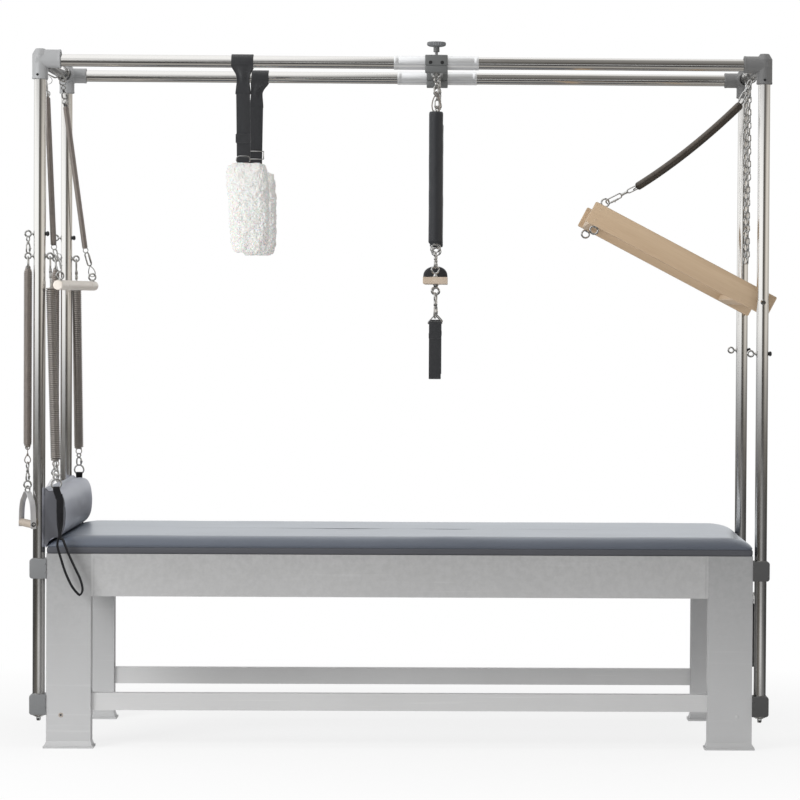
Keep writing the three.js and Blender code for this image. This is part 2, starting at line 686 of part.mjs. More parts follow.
function buildBolster() {
  const outline = bolsterOutline();
  const middleX = outline.reduce((sum, [x]) => sum + x, 0) / outline.length;
  const middleZ = outline.reduce((sum, [, z]) => sum + z, 0) / outline.length;
  const back = outline[0][0];
  const stationShares = [[-1, 0.55], [-0.985, 0.85], [-0.95, 0.97], [-0.8, 1], [-0.35, 0.985]];
  const middleShares = [[0, 0.98]];
  const rows = [...stationShares, ...middleShares, ...stationShares.map(([y, full]) => [-y, full]).reverse()];
  const positions = [];
  const indices = [];
  for (const [yShare, full] of rows) {
    const inset = (1 - full) * BOLSTER_END_BULGE * 2;
    for (const [x, z] of outline) {
      const reach = Math.hypot(x - middleX, z - middleZ);
      const scale = 1 - inset / reach;
      const px = Math.max(middleX + (x - middleX) * scale, back);
      positions.push(px, yShare * BENCH_SIDE, middleZ + (z - middleZ) * scale);
    }
  }
  const count = outline.length;
  for (let j = 0; j < rows.length - 1; j += 1) {
    for (let k = 0; k < count; k += 1) {
      const next = (k + 1) % count;
      const a = j * count + k;
      const b = j * count + next;
      const c = (j + 1) * count + k;
      const d = (j + 1) * count + next;
      indices.push(a, d, b, a, c, d);
    }
  }
  for (const [row, flip] of [[0, false], [rows.length - 1, true]]) {
    const centre = positions.length / 3;
    positions.push(middleX, rows[row][0] * BENCH_SIDE, middleZ);
    for (let k = 0; k < count; k += 1) {
      const a = row * count + k;
      const b = row * count + (k + 1) % count;
      if (flip) indices.push(centre, b, a);
      else indices.push(centre, a, b);
    }
  }
  const geometry = new THREE.BufferGeometry();
  geometry.setAttribute('position', new THREE.Float32BufferAttribute(positions, 3));
  geometry.setIndex(indices);
  geometry.computeVertexNormals();
  place('end_bolster', geometry, greyVinyl);
}

// Clamp block on the end face of a leg, its outer corners rounded as seen from the front
function clampBody(sx, sy, bottom, height) {
  const inner = BENCH_END + REST_GAP;
  const outer = POST_X + BORE_RADIUS + CLAMP_WALL;
  const halfDepth = BORE_RADIUS + CLAMP_WALL;
  const top = bottom + height;
  const outline = [[sx * inner, top], [sx * inner, bottom]];
  for (const [height, from] of [[bottom + CLAMP_CORNER, -Math.PI / 2], [top - CLAMP_CORNER, 0]]) {
    for (let i = 0; i <= CLAMP_CORNER_STEPS; i += 1) {
      const angle = from + Math.PI * i / (2 * CLAMP_CORNER_STEPS);
      const x = outer - CLAMP_CORNER + CLAMP_CORNER * Math.cos(angle);
      outline.push([sx * x, height + CLAMP_CORNER * Math.sin(angle)]);
    }
  }
  return slab(outline, sy * POST_Y - halfDepth, sy * POST_Y + halfDepth);
}

function buildClamps() {
  for (const [sideName, sy] of SIDES) {
    for (const [endName, sx] of ENDS) {
      const body = clampBody(sx, sy, HEAD_CLAMP_BOTTOM, HEAD_CLAMP_HEIGHT);
      const bore = rod(
        [sx * POST_X, sy * POST_Y, HEAD_CLAMP_BOTTOM - CUT_OVERRUN],
        [sx * POST_X, sy * POST_Y, HEAD_CLAMP_BOTTOM + HEAD_CLAMP_HEIGHT + CUT_OVERRUN],
        BORE_RADIUS,
        TUBE_SIDES,
      );
      place(`post_clamp_${sideName}_${endName}`, shape([body], [bore]), castGrey);
    }
  }
}

// Eyebolt through a post: a ring on one side, and a cap nut or a second ring on the other
function eyebolt(sx, sy, height, outward, secondRing) {
  const x = sx * POST_X;
  const y = sy * POST_Y;
  const ringX = x + outward * EYE_REACH;
  const capX = x - outward * (TUBE_RADIUS + CAP_NUT_LENGTH);
  const shank = rod([ringX - outward * EYE_RADIUS, y, height], [x, y, height], EYE_ROD);
  const eye = ring([ringX, y, height], [0, 1, 0], EYE_RADIUS, EYE_WIRE);
  if (secondRing) {
    const otherX = x - outward * EYE_REACH_INNER;
    return [
      shank, eye,
      rod([x, y, height], [otherX + outward * EYE_RADIUS, y, height], EYE_ROD),
      ring([otherX, y, height], [0, 1, 0], EYE_RADIUS, EYE_WIRE),
    ];
  }
  return [shank, eye, rod([x, y, height], [capX, y, height], CAP_NUT_RADIUS)];
}

function buildPosts() {
  for (const [sideName, sy] of SIDES) {
    for (const [endName, sx] of ENDS) {
      const x = sx * POST_X;
      const y = sy * POST_Y;
      const top = TUBE_HEIGHT - SOCKET_STOP - REST_GAP;
      const bottom = FOOT_CLAMP_BOTTOM - FRAME_WALL;
      const tube = rod([x, y, bottom], [x, y, top], TUBE_RADIUS, TUBE_SIDES);
      const boreBottom = [x, y, bottom + FOOT_CLAMP_HEIGHT];
      const bore = rod(boreBottom, [x, y, top + CUT_OVERRUN], TUBE_RADIUS - TUBE_WALL, TUBE_SIDES);
      const clamp = clampBody(sx, sy, FOOT_CLAMP_BOTTOM, FOOT_CLAMP_HEIGHT);
      const boltEnd = [x, y, bottom - FOOT_BOLT_LENGTH];
      const bolt = rod(boltEnd, [x, y, FOOT_CLAMP_BOTTOM], FOOT_BOLT_DIAMETER / 2);
      const fittings = [];
      if (sx < 0) {
        fittings.push(...eyebolt(sx, sy, EYE_HEIGHT_UPPER, sx, false));
        fittings.push(...eyebolt(sx, sy, EYE_HEIGHT_LOWER, sx, true));
      } else {
        fittings.push(...eyebolt(sx, sy, EYE_HEIGHT_RIGHT, -sx, false));
        const inner = y - sy * (TUBE_RADIUS + PUSH_SIDE_GAP + PUSH_ARM_THICKNESS);
        const pinStart = [x, y + sy * TUBE_RADIUS, PUSH_PIVOT_HEIGHT];
        fittings.push(rod(pinStart, [x, inner, PUSH_PIVOT_HEIGHT], PIVOT_PIN_RADIUS));
      }
      const post = shape([tube, clamp, bolt], [bore]);
      place(`post_${sideName}_${endName}`, shape([post, ...fittings]), polishedSteel);
    }
  }
}

// Corner casting with sockets down, along X and along Y
function buildCastings() {
  for (const [sideName, sy] of SIDES) {
    for (const [endName, sx] of ENDS) {
      const c = [sx * POST_X, sy * POST_Y, TUBE_HEIGHT];
      const low = [c[0], c[1], c[2] - SOCKET_REACH_DOWN];
      const shoulder = [c[0], c[1], c[2] + CASTING_RISE - CASTING_CHAMFER];
      const crown = [c[0], c[1], c[2] + CASTING_RISE];
      const alongX = [c[0] - sx * SOCKET_REACH_X, c[1], c[2]];
      const alongY = [c[0], c[1] - sy * SOCKET_REACH_Y, c[2]];
      const stopX = [c[0] - sx * SOCKET_STOP, c[1], c[2]];
      const stopY = [c[0], c[1] - sy * SOCKET_STOP, c[2]];
      const stopDown = [c[0], c[1], c[2] - SOCKET_STOP];
      const openX = [c[0] - sx * (SOCKET_REACH_X + CUT_OVERRUN), c[1], c[2]];
      const openY = [c[0], c[1] - sy * (SOCKET_REACH_Y + CUT_OVERRUN), c[2]];
      const openDown = [c[0], c[1], low[2] - CUT_OVERRUN];
      const adds = [
        rod(low, shoulder, SOCKET_RADIUS, TUBE_SIDES),
        rod(shoulder, crown, SOCKET_RADIUS, TUBE_SIDES, SOCKET_RADIUS - CASTING_CHAMFER),
        rod(c, alongX, SOCKET_RADIUS, TUBE_SIDES),
        rod(c, alongY, SOCKET_RADIUS, TUBE_SIDES),
      ];
      const screwHeight = c[2] - SOCKET_REACH_DOWN + 2 * SET_SCREW_DIAMETER;
      const outside = c[1] + sy * (SOCKET_RADIUS + CUT_OVERRUN);
      const cuts = [
        rod(stopX, openX, BORE_RADIUS, TUBE_SIDES),
        rod(stopY, openY, BORE_RADIUS, TUBE_SIDES),
        rod(stopDown, openDown, BORE_RADIUS, TUBE_SIDES),
        rod([c[0], outside, screwHeight], [c[0], c[1], screwHeight], SET_SCREW_DIAMETER / 2),
      ];
      place(`corner_casting_${sideName}_${endName}`, shape(adds, cuts), castGrey);
    }
  }
}

function buildOverhead() {
  const inner = TUBE_RADIUS - TUBE_WALL;
  for (const [sideName, sy] of SIDES) {
    const reach = POST_X - SOCKET_STOP - REST_GAP;
    const y = sy * POST_Y;
    const tube = pipe([-reach, y, TUBE_HEIGHT], [reach, y, TUBE_HEIGHT], TUBE_RADIUS, inner);
    place(`top_tube_${sideName}`, tube, polishedSteel);
  }
  for (const [endName, sx] of ENDS) {
    const reach = POST_Y - SOCKET_STOP - REST_GAP;
    const x = sx * POST_X;
    const tube = pipe([x, -reach, TUBE_HEIGHT], [x, reach, TUBE_HEIGHT], TUBE_RADIUS, inner);
    place(`end_tube_${endName}`, tube, polishedSteel);
  }
}

// Sliding carriage: a sleeve and a clamp block on each top tube, a cross tube and two clamp knobs
function knobGeometry(x, y) {
  const hubBottom = BLOCK_TOP + KNOB_RISE;
  const discBottom = hubBottom + KNOB_HUB_LENGTH;
  const outline = new THREE.Shape();
  const steps = KNOB_LOBES * 3;
  for (let i = 0; i < steps; i += 1) {
    const angle = 2 * Math.PI * i / steps;
    const radius = KNOB_DIAMETER / 2 - KNOB_LOBE_DEPTH * (1 - Math.cos(KNOB_LOBES * angle)) / 2;
    const point = [radius * Math.cos(angle), radius * Math.sin(angle)];
    if (i === 0) outline.moveTo(...point);
    else outline.lineTo(...point);
  }
  const bevel = KNOB_THICKNESS / 5;
  const disc = new THREE.ExtrudeGeometry(outline, {
    depth: KNOB_THICKNESS - 2 * bevel,
    bevelEnabled: true,
    bevelThickness: bevel,
    bevelSize: bevel,
    bevelOffset: -bevel,
    bevelSegments: 1,
  });
  disc.translate(x, y, discBottom + bevel);
  const screwBottom = TUBE_HEIGHT + SLEEVE_RADIUS + REST_GAP;
  return shape([
    disc,
    rod([x, y, hubBottom], [x, y, discBottom + bevel], KNOB_HUB_DIAMETER / 2, TUBE_SIDES),
    rod([x, y, screwBottom], [x, y, hubBottom + bevel], KNOB_SCREW_DIAMETER / 2, TUBE_SIDES),
  ]);
}

function buildCarriage() {
  for (const [sideName, sy] of SIDES) {
    const y = sy * POST_Y;
    const sleeve = pipe(
      [CARRIAGE_X - SLEEVE_LENGTH / 2, y, TUBE_HEIGHT],
      [CARRIAGE_X + SLEEVE_LENGTH / 2, y, TUBE_HEIGHT],
      SLEEVE_RADIUS,
      BORE_RADIUS,
    );
    place(`slider_sleeve_${sideName}`, sleeve, anodised);
    const half = BLOCK_LENGTH / 2;
    const body = block(
      [CARRIAGE_X - half, y - BLOCK_DEPTH / 2, BLOCK_BOTTOM],
      [CARRIAGE_X + half, y + BLOCK_DEPTH / 2, BLOCK_TOP],
    );
    const eye = ring([CARRIAGE_X, y, CARRIAGE_EYE_HEIGHT], [0, 1, 0], EYE_RADIUS, EYE_WIRE);
    const stem = rod(
      [CARRIAGE_X, y, BLOCK_BOTTOM + BLOCK_SPLIT],
      [CARRIAGE_X, y, CARRIAGE_EYE_HEIGHT + EYE_RADIUS],
      EYE_ROD,
    );
    const boreStart = [CARRIAGE_X - BLOCK_LENGTH, y, TUBE_HEIGHT];
    const boreEnd = [CARRIAGE_X + BLOCK_LENGTH, y, TUBE_HEIGHT];
    const screwEnd = [CARRIAGE_X, y, BLOCK_TOP + CUT_OVERRUN];
    const cuts = [
      rod(boreStart, boreEnd, SLEEVE_RADIUS + REST_GAP, TUBE_SIDES),
      rod([CARRIAGE_X, y, TUBE_HEIGHT], screwEnd, KNOB_SCREW_DIAMETER / 2 + HANG_GAP, TUBE_SIDES),
    ];
    const face = y + sy * BLOCK_DEPTH / 2;
    const splitHeight = TUBE_HEIGHT - BLOCK_HEIGHT / 6;
    cuts.push(block(
      [CARRIAGE_X - BLOCK_LENGTH, Math.min(face, face - sy * BLOCK_SPLIT_DEPTH), splitHeight],
      [CARRIAGE_X + BLOCK_LENGTH, Math.max(face, face - sy * BLOCK_SPLIT_DEPTH), splitHeight + BLOCK_SPLIT],
    ));
    for (const across of [-1, 1]) {
      const holeX = CARRIAGE_X + across * BLOCK_SCREW_SPACING / 2;
      cuts.push(rod(
        [holeX, face + sy * CUT_OVERRUN, TUBE_HEIGHT],
        [holeX, face - sy * BLOCK_SPLIT_DEPTH, TUBE_HEIGHT],
        BLOCK_SCREW_DIAMETER / 2,
      ));
    }
    place(`slider_block_${sideName}`, shape([body, stem, eye], cuts), castGrey);
    place(`clamp_knob_${sideName}`, knobGeometry(CARRIAGE_X, y), blackPlastic);
  }
  const reach = POST_Y - BLOCK_DEPTH / 2 - REST_GAP;
  const crossStart = [CARRIAGE_X, -reach, TUBE_HEIGHT];
  const cross = pipe(crossStart, [CARRIAGE_X, reach, TUBE_HEIGHT], TUBE_RADIUS, TUBE_RADIUS - TUBE_WALL);
  place('slider_cross_tube', cross, polishedSteel);
}

// Rigging: the highest point of a link that hangs in a ring with a small gap
function hangTop(ringHeight, ringRadius, ringWire, linkWire) {
  return ringHeight - ringRadius + ringWire + HANG_GAP + 2 * linkWire;
}

// Row of links that overlap one another by a wire, so that the row is one body
function chainOfLinks(x, y, heights, width, wireRadius) {
  const pieces = [];
  for (let i = 0; i < heights.length - 1; i += 1) {
    const across = i % 2 === 0 ? [0, 1, 0] : [1, 0, 0];
    const top = heights[i] + (i ? wireRadius * 2 : 0);
    pieces.push(link([x, y, top], [x, y, heights[i + 1]], width, wireRadius, across));
  }
  return pieces;
}

function roundedTube(x, y, top, bottom, radius, neck) {
  const profile = [
    [0, bottom], [neck / 2, bottom], [radius, bottom + neck], [radius, top - neck], [neck / 2, top], [0, top],
  ].map(([r, z]) => new THREE.Vector2(r, z));
  const geometry = new THREE.LatheGeometry(profile, SOFT_TUBE_SIDES);
  geometry.rotateX(Math.PI / 2);
  return geometry.translate(x, y, 0);
}

function buildTrapeze() {
  const x = CARRIAGE_X;
  const linkTop = hangTop(CARRIAGE_EYE_HEIGHT, EYE_RADIUS, EYE_WIRE, SNAP_WIRE);
  const boardEyeHeight = BOARD_TOP + BOARD_EYE_RADIUS * 2;
  for (const [sideName, sy] of SIDES) {
    const y = sy * POST_Y;
    const middle = (linkTop + TRAPEZE_PAD_TOP) / 2;
    const upper = chainOfLinks(x, y, [linkTop, middle, TRAPEZE_PAD_TOP - EYE_RADIUS], SNAP_WIDTH, SNAP_WIRE);
    const radius = TRAPEZE_PAD_DIAMETER / 2;
    const tube = roundedTube(x, y, TRAPEZE_PAD_TOP, TRAPEZE_PAD_BOTTOM, radius, EYE_WIRE);
    const lowerTop = TRAPEZE_PAD_BOTTOM + EYE_RADIUS;
    const lowerMiddle = TRAPEZE_PAD_BOTTOM - 2 * SNAP_WIDTH;
    const snapBottom = boardEyeHeight + BOARD_EYE_RADIUS - EYE_WIRE - REST_GAP - 2 * SNAP_WIRE;
    const lower = chainOfLinks(x, y, [lowerTop, lowerMiddle, snapBottom], SNAP_WIDTH, SNAP_WIRE);
    place(`trapeze_sling_${sideName}`, shape([tube, ...upper, ...lower]), blackPad);
  }
  const half = BOARD_WIDTH / 2;
  const parts = [
    block([x - half, -BOARD_HALF, BOARD_TOP - BOARD_THICKNESS], [x + half, BOARD_HALF, BOARD_TOP]),
  ];
  for (const [, sy] of SIDES) {
    const y = sy * POST_Y;
    const stemLow = [x, y, BOARD_EYE_LOW + BOARD_EYE_RADIUS];
    parts.push(rod(stemLow, [x, y, boardEyeHeight - BOARD_EYE_RADIUS], EYE_ROD));
    parts.push(ring([x, y, boardEyeHeight], [1, 0, 0], BOARD_EYE_RADIUS, EYE_WIRE));
    parts.push(ring([x, y, BOARD_EYE_LOW], [1, 0, 0], BOARD_EYE_RADIUS, EYE_WIRE));
  }
  place('trapeze_board', shape(parts), beech);
  const arcSteps = 10;
  const outline = [];
  for (let i = 0; i <= arcSteps; i += 1) {
    const angle = Math.PI * i / arcSteps;
    const rise = BOARD_PAD_HEIGHT * Math.sin(angle) ** PAD_ROUND_SHARE;
    outline.push([x + half * Math.cos(angle), BOARD_TOP + REST_GAP + rise]);
  }
  place('trapeze_board_pad', slab(outline, -BOARD_PAD_HALF, BOARD_PAD_HALF), blackPad);
  for (const [sideName, sy] of SIDES) {
    const y = sy * POST_Y;
    const top = hangTop(BOARD_EYE_LOW, BOARD_EYE_RADIUS, EYE_WIRE, SNAP_WIRE);
    const hook = link([x, y, top], [x, y, HAND_LOOP_TOP - SNAP_WIRE], SNAP_WIDTH, SNAP_WIRE, [1, 0, 0]);
    const band = handLoop();
    band.rotateZ(Math.PI / 2);
    band.translate(x, y, 0);
    place(`hand_loop_${sideName}`, shape([band, hook]), blackWebbing);
  }
}

// Hand loop in X and Z round the origin, doubled at its top and open below, as wide as the webbing along Y
function handLoop() {
  const bottom = HAND_LOOP_TOP - HAND_LOOP_LENGTH;
  const half = LOOP_OPENING / 2;
  const wall = WEBBING_THICKNESS;
  const neck = wall / half;
  const floorShares = [[1, 0.12], [0.92, 0.04], [0.55, 0], [-0.55, 0], [-0.92, 0.04], [-1, 0.12]];
  const sideShares = [...floorShares, [-0.85, 0.4], [-0.4, 0.66]];
  const backShares = [[0.4, 0.66], [0.85, 0.4]];
  const neckShares = [[-neck, 0.78], [-neck, 1], [neck, 1], [neck, 0.78]];
  const holeShare = 0.97;
  const outer = [...sideShares, ...neckShares, ...backShares];
  const outline = outer.map(([across, up]) => [across * half, bottom + up * HAND_LOOP_LENGTH]);
  const inner = [...sideShares, ...backShares].map(([across, up]) => [
    across * (half - wall),
    bottom + wall + up * (HAND_LOOP_LENGTH - 2 * wall) * holeShare,
  ]);
  return slab(outline.reverse(), -WEBBING_WIDTH / 2, WEBBING_WIDTH / 2, inner);
}

// Fleece loops: webbing round a top tube, and a fleece sleeve on its lower end
function buildFleeceLoops() {
  for (const [sideName, sy] of SIDES) {
    const y = sy * POST_Y;
    const innerRadius = BAND_RADIUS;
    const outerRadius = innerRadius + WEBBING_THICKNESS;
    const fork = TUBE_HEIGHT - 3 * TUBE_RADIUS;
    const arc = 12;
    const ringPoints = (radius) => {
      const points = [];
      for (let i = 0; i <= arc; i += 1) {
        const angle = COLLAR_START + (Math.PI - 2 * COLLAR_START) * i / arc;
        points.push([radius * Math.cos(angle), TUBE_HEIGHT + radius * Math.sin(angle)]);
      }
      return points;
    };
    const bottom = FLEECE_TOP + REST_GAP;
    const t = WEBBING_THICKNESS;
    const outer = [...ringPoints(outerRadius), [-t, fork], [-t, bottom], [t, bottom], [t, fork]];
    const inner = [...ringPoints(innerRadius), [0, fork]];
    const collar = slab(outer, -WEBBING_WIDTH / 2, WEBBING_WIDTH / 2, inner);
    collar.rotateZ(Math.PI / 2);
    collar.translate(FLEECE_STRAP_X, y, 0);
    const buckleMiddle = FLEECE_TOP + BUCKLE_RISE;
    const buckle = block(
      [FLEECE_STRAP_X - BUCKLE_WIDTH / 2, y - 2 * t, buckleMiddle - BUCKLE_HEIGHT / 2],
      [FLEECE_STRAP_X + BUCKLE_WIDTH / 2, y + 2 * t, buckleMiddle + BUCKLE_HEIGHT / 2],
    );
    place(`fleece_strap_${sideName}`, shape([collar, buckle]), blackWebbing);
    place(`fleece_${sideName}`, fleeceGeometry(FLEECE_X, y), whiteFleece);
  }
}

// Soft sleeve: rounded oval rows that swell in the middle and draw in at the ends
function fleeceGeometry(x, y) {
  const lowShares = [[0, 0.72], [0.03, 0.9], [0.12, 0.99], [0.35, 1]];
  const rowShares = [...lowShares, [0.65, 0.98], [0.88, 0.95], [0.97, 0.86], [1, 0.66]];
  const wideShare = 0.7;
  const deepShare = 0.8;
  const around = 16;
  const positions = [];
  const indices = [];
  for (const [up, full] of rowShares) {
    for (let k = 0; k < around; k += 1) {
      const angle = 2 * Math.PI * k / around;
      const c = Math.cos(angle);
      const s = Math.sin(angle);
      const px = Math.sign(c) * Math.abs(c) ** wideShare * full * FLEECE_WIDTH / 2;
      const py = Math.sign(s) * Math.abs(s) ** deepShare * full * FLEECE_DEPTH / 2;
      positions.push(x + px, y + py, FLEECE_BOTTOM + up * (FLEECE_TOP - FLEECE_BOTTOM));
    }
  }
  for (let j = 0; j < rowShares.length - 1; j += 1) {
    for (let k = 0; k < around; k += 1) {
      const a = j * around + k;
      const b = j * around + (k + 1) % around;
      indices.push(a, b, b + around, a, b + around, a + around);
    }
  }
  const last = (rowShares.length - 1) * around;
  for (let k = 1; k < around - 1; k += 1) {
    indices.push(0, k + 1, k, last, last + k, last + k + 1);
  }
  const geometry = new THREE.BufferGeometry();
  geometry.setAttribute('position', new THREE.Float32BufferAttribute(positions, 3));
  geometry.setIndex(indices);
  geometry.computeVertexNormals();
  return geometry;
}

// Sprung roll-down bar on two slim springs from the left end tube
function buildRollDown() {
  const barHalf = ROLL_BAR_EYE_Y + ROLL_BAR_END;
  const barX = (sy) => (sy < 0 ? ROLL_BAR_X_NEAR : ROLL_BAR_X_REAR);
  const eyeHeight = ROLL_BAR_HEIGHT + ROLL_BAR_DIAMETER / 2 + BOARD_EYE_RADIUS + EYE_WIRE;
  for (const [sideName, sy] of SIDES) {
    const bottomX = barX(sy) - ROLL_BOTTOM_OUTWARD;
    const hookY = sy * ROLL_HOOK_Y;
    const top = [ROLL_TOP_INWARD - POST_X, hookY + sy * ROLL_TOP_SPREAD, TUBE_HEIGHT - ROLL_TOP_DROP];
    const bottom = [bottomX, sy * (POST_Y - ROLL_BOTTOM_INSET), ROLL_BOTTOM_HEIGHT];
    const outer = BAND_RADIUS + HOOK_BAND_THICKNESS;
    const band = pipe(
      [-POST_X, hookY - HOOK_BAND_WIDTH / 2, TUBE_HEIGHT],
      [-POST_X, hookY + HOOK_BAND_WIDTH / 2, TUBE_HEIGHT],
      outer,
      BAND_RADIUS,
    );
    const hang = [-POST_X, hookY, TUBE_HEIGHT - outer + HOOK_BAND_THICKNESS / 2];
    const radius = ROLL_SPRING_DIAMETER / 2;
    const held = new THREE.Vector3(barX(sy), sy * ROLL_BAR_EYE_Y, eyeHeight + BOARD_EYE_RADIUS);
    const pull = held.clone().sub(new THREE.Vector3(...bottom)).normalize();
    const lowEnd = held.addScaledVector(pull, EYE_WIRE + 3 * HANG_GAP + 2 * SNAP_WIRE).toArray();
    const body = shape([
      band,
      link(hang, top.map((v, i) => v + (i === 2 ? -EYE_RADIUS : 0)), SNAP_WIDTH, SNAP_WIRE, [0, 1, 0]),
      rod(top, bottom, radius, ROD_SIDES),
      link([bottom[0], bottom[1], bottom[2] + EYE_RADIUS], lowEnd, SNAP_WIDTH, SNAP_WIRE, [0, 1, 0]),
    ]);
    place(`roll_down_spring_${sideName}`, body, springSteel);
  }
  const near = new THREE.Vector3(barX(-1), -ROLL_BAR_EYE_Y, ROLL_BAR_HEIGHT);
  const rear = new THREE.Vector3(barX(1), ROLL_BAR_EYE_Y, ROLL_BAR_HEIGHT);
  const along = rear.clone().sub(near).normalize();
  const middle = near.clone().add(rear).multiplyScalar(1 / 2);
  const at = (distance) => middle.clone().addScaledVector(along, distance).toArray();
  const radius = ROLL_BAR_DIAMETER / 2;
  const bevel = ROLL_BAR_GROOVE;
  const parts = [rod(at(-barHalf + bevel), at(barHalf - bevel), radius, TUBE_SIDES)];
  const cuts = [];
  for (const sy of [-1, 1]) {
    parts.push(rod(at(sy * (barHalf - bevel)), at(sy * barHalf), radius, TUBE_SIDES, radius - bevel));
    const grooveStart = sy * (ROLL_BAR_EYE_Y - ROLL_BAR_GROOVE_INSET);
    const grooveEnd = grooveStart + ROLL_BAR_GROOVE_WIDTH;
    const outside = rod(at(grooveStart), at(grooveEnd), radius * 2, TUBE_SIDES);
    const core = rod(at(grooveStart - CUT_OVERRUN), at(grooveEnd + CUT_OVERRUN), radius - bevel, TUBE_SIDES);
    cuts.push(shape([outside], [core]));
    const y = sy * ROLL_BAR_EYE_Y;
    parts.push(ring([barX(sy), y, eyeHeight], [0, 1, 0], BOARD_EYE_RADIUS, EYE_WIRE));
    parts.push(rod([barX(sy), y, ROLL_BAR_HEIGHT], [barX(sy), y, eyeHeight - BOARD_EYE_RADIUS], EYE_ROD));
  }
  place('roll_down_bar', shape(parts, cuts), paleWood);
}

// Arm springs outside the left posts, each with a stirrup handle
function buildArmSprings() {
  for (const [sideName, sy] of SIDES) {
    const x = -POST_X - EYE_REACH;
    const y = sy * POST_Y;
    const linkTop = hangTop(EYE_HEIGHT_LOWER, EYE_RADIUS, EYE_WIRE, SNAP_WIRE);
    const radius = ARM_SPRING_DIAMETER / 2;
    const spring = roundedTube(x, y, ARM_SPRING_TOP, ARM_SPRING_BOTTOM, radius, ARM_SPRING_NECK);
    const upper = chainOfLinks(x, y, [linkTop, ARM_SPRING_TOP - EYE_RADIUS], SNAP_WIDTH, SNAP_WIRE);
    const middle = (ARM_SPRING_BOTTOM + ARM_RING_HEIGHT) / 2;
    const ringTop = ARM_RING_HEIGHT + BOARD_EYE_RADIUS;
    const lowerHeights = [ARM_SPRING_BOTTOM + EYE_RADIUS, middle, ringTop - EYE_WIRE];
    const lower = chainOfLinks(x, y, lowerHeights, SNAP_WIDTH, SNAP_WIRE);
    const eye = ring([x, y, ARM_RING_HEIGHT], [0, 1, 0], BOARD_EYE_RADIUS, EYE_WIRE);
    place(`arm_spring_${sideName}`, shape([spring, ...upper, ...lower, eye]), springSteel);
    place(`stirrup_handle_${sideName}`, handleGeometry(x, y, sy), brushedAluminium);
  }
}

// Bent strip, wide along the grip, with a cross grip between its feet
function handleGeometry(x, y, turn) {
  const halfGrip = HANDLE_GRIP_LENGTH / 2;
  const shoulder = HANDLE_TOP_HEIGHT - HANDLE_SHOULDER_DROP;
  const half = HANDLE_SHOULDER_WIDTH / 2;
  const t = HANDLE_STRIP_THICKNESS;
  const foot = HANDLE_GRIP_HEIGHT - HANDLE_GRIP_DIAMETER / 3;
  const crownHalf = HANDLE_STRIP_WIDTH / 2;
  const outer = [
    [-halfGrip - t, foot], [-halfGrip + t, shoulder - crownHalf], [-half, shoulder + crownHalf],
    [-crownHalf, HANDLE_TOP_HEIGHT], [crownHalf, HANDLE_TOP_HEIGHT],
    [half, shoulder + crownHalf], [halfGrip - t, shoulder - crownHalf], [halfGrip + t, foot],
  ];
  const inner = [
    [halfGrip, foot], [halfGrip - 2 * t, shoulder - crownHalf], [half - t, shoulder + crownHalf - t],
    [crownHalf, HANDLE_TOP_HEIGHT - t], [-crownHalf, HANDLE_TOP_HEIGHT - t],
    [-half + t, shoulder + crownHalf - t], [-halfGrip + 2 * t, shoulder - crownHalf], [-halfGrip, foot],
  ];
  const strip = slab([...outer, ...inner].reverse(), -HANDLE_STRIP_WIDTH / 2, HANDLE_STRIP_WIDTH / 2);
  const gripEnd = halfGrip + t / 2;
  const gripRadius = HANDLE_GRIP_DIAMETER / 2;
  const gripStart = [-gripEnd, 0, HANDLE_GRIP_HEIGHT];
  const grip = rod(gripStart, [gripEnd, 0, HANDLE_GRIP_HEIGHT], gripRadius, GRIP_SIDES);
  const stirrup = shape([strip, grip]);
  stirrup.rotateZ(Math.PI / 2 - turn * HANDLE_YAW);
  const eyeTop = hangTop(ARM_RING_HEIGHT, BOARD_EYE_RADIUS, EYE_WIRE, SNAP_WIRE);
  const eye = link([0, 0, eyeTop], [0, 0, HANDLE_TOP_HEIGHT - t], SNAP_WIDTH, SNAP_WIRE, [0, 1, 0]);
  return shape([stirrup, eye]).translate(x, y, 0);
}

// Leg springs on the inner lower eyes, with their wire wound as one unbroken helix
let leastCurlGap = Infinity;

function coil(start, end, diameter, wireRadius, turns) {
  const from = new THREE.Vector3(...start);
  const to = new THREE.Vector3(...end);
  const along = to.clone().sub(from);
  const axis = along.clone().normalize();
  const side = new THREE.Vector3(1, 0, 0).cross(axis).normalize();
  const other = axis.clone().cross(side);
  const radius = diameter / 2 - wireRadius;
  const points = [];
  const steps = turns * CURL_STEPS;
  const lead = 2 * wireRadius;
  points.push(from.clone().addScaledVector(axis, -lead));
  for (let i = 0; i <= steps; i += 1) {
    const angle = 2 * Math.PI * i / CURL_STEPS;
    const grow = Math.min(1, i / CURL_STEPS, (steps - i) / CURL_STEPS);
    const point = from.clone().addScaledVector(along, i / steps);
    point.addScaledVector(side, radius * grow * Math.cos(angle));
    point.addScaledVector(other, radius * grow * Math.sin(angle));
    points.push(point);
  }
  points.push(to.clone().addScaledVector(axis, lead));
  for (let i = 0; i < points.length; i += 1) {
    for (let j = i + CURL_STEPS / 2; j < points.length; j += 1) {
      leastCurlGap = Math.min(leastCurlGap, points[i].distanceTo(points[j]) - 2 * wireRadius);
    }
  }
  return wire(points, wireRadius, CURL_SIDES, false);
}

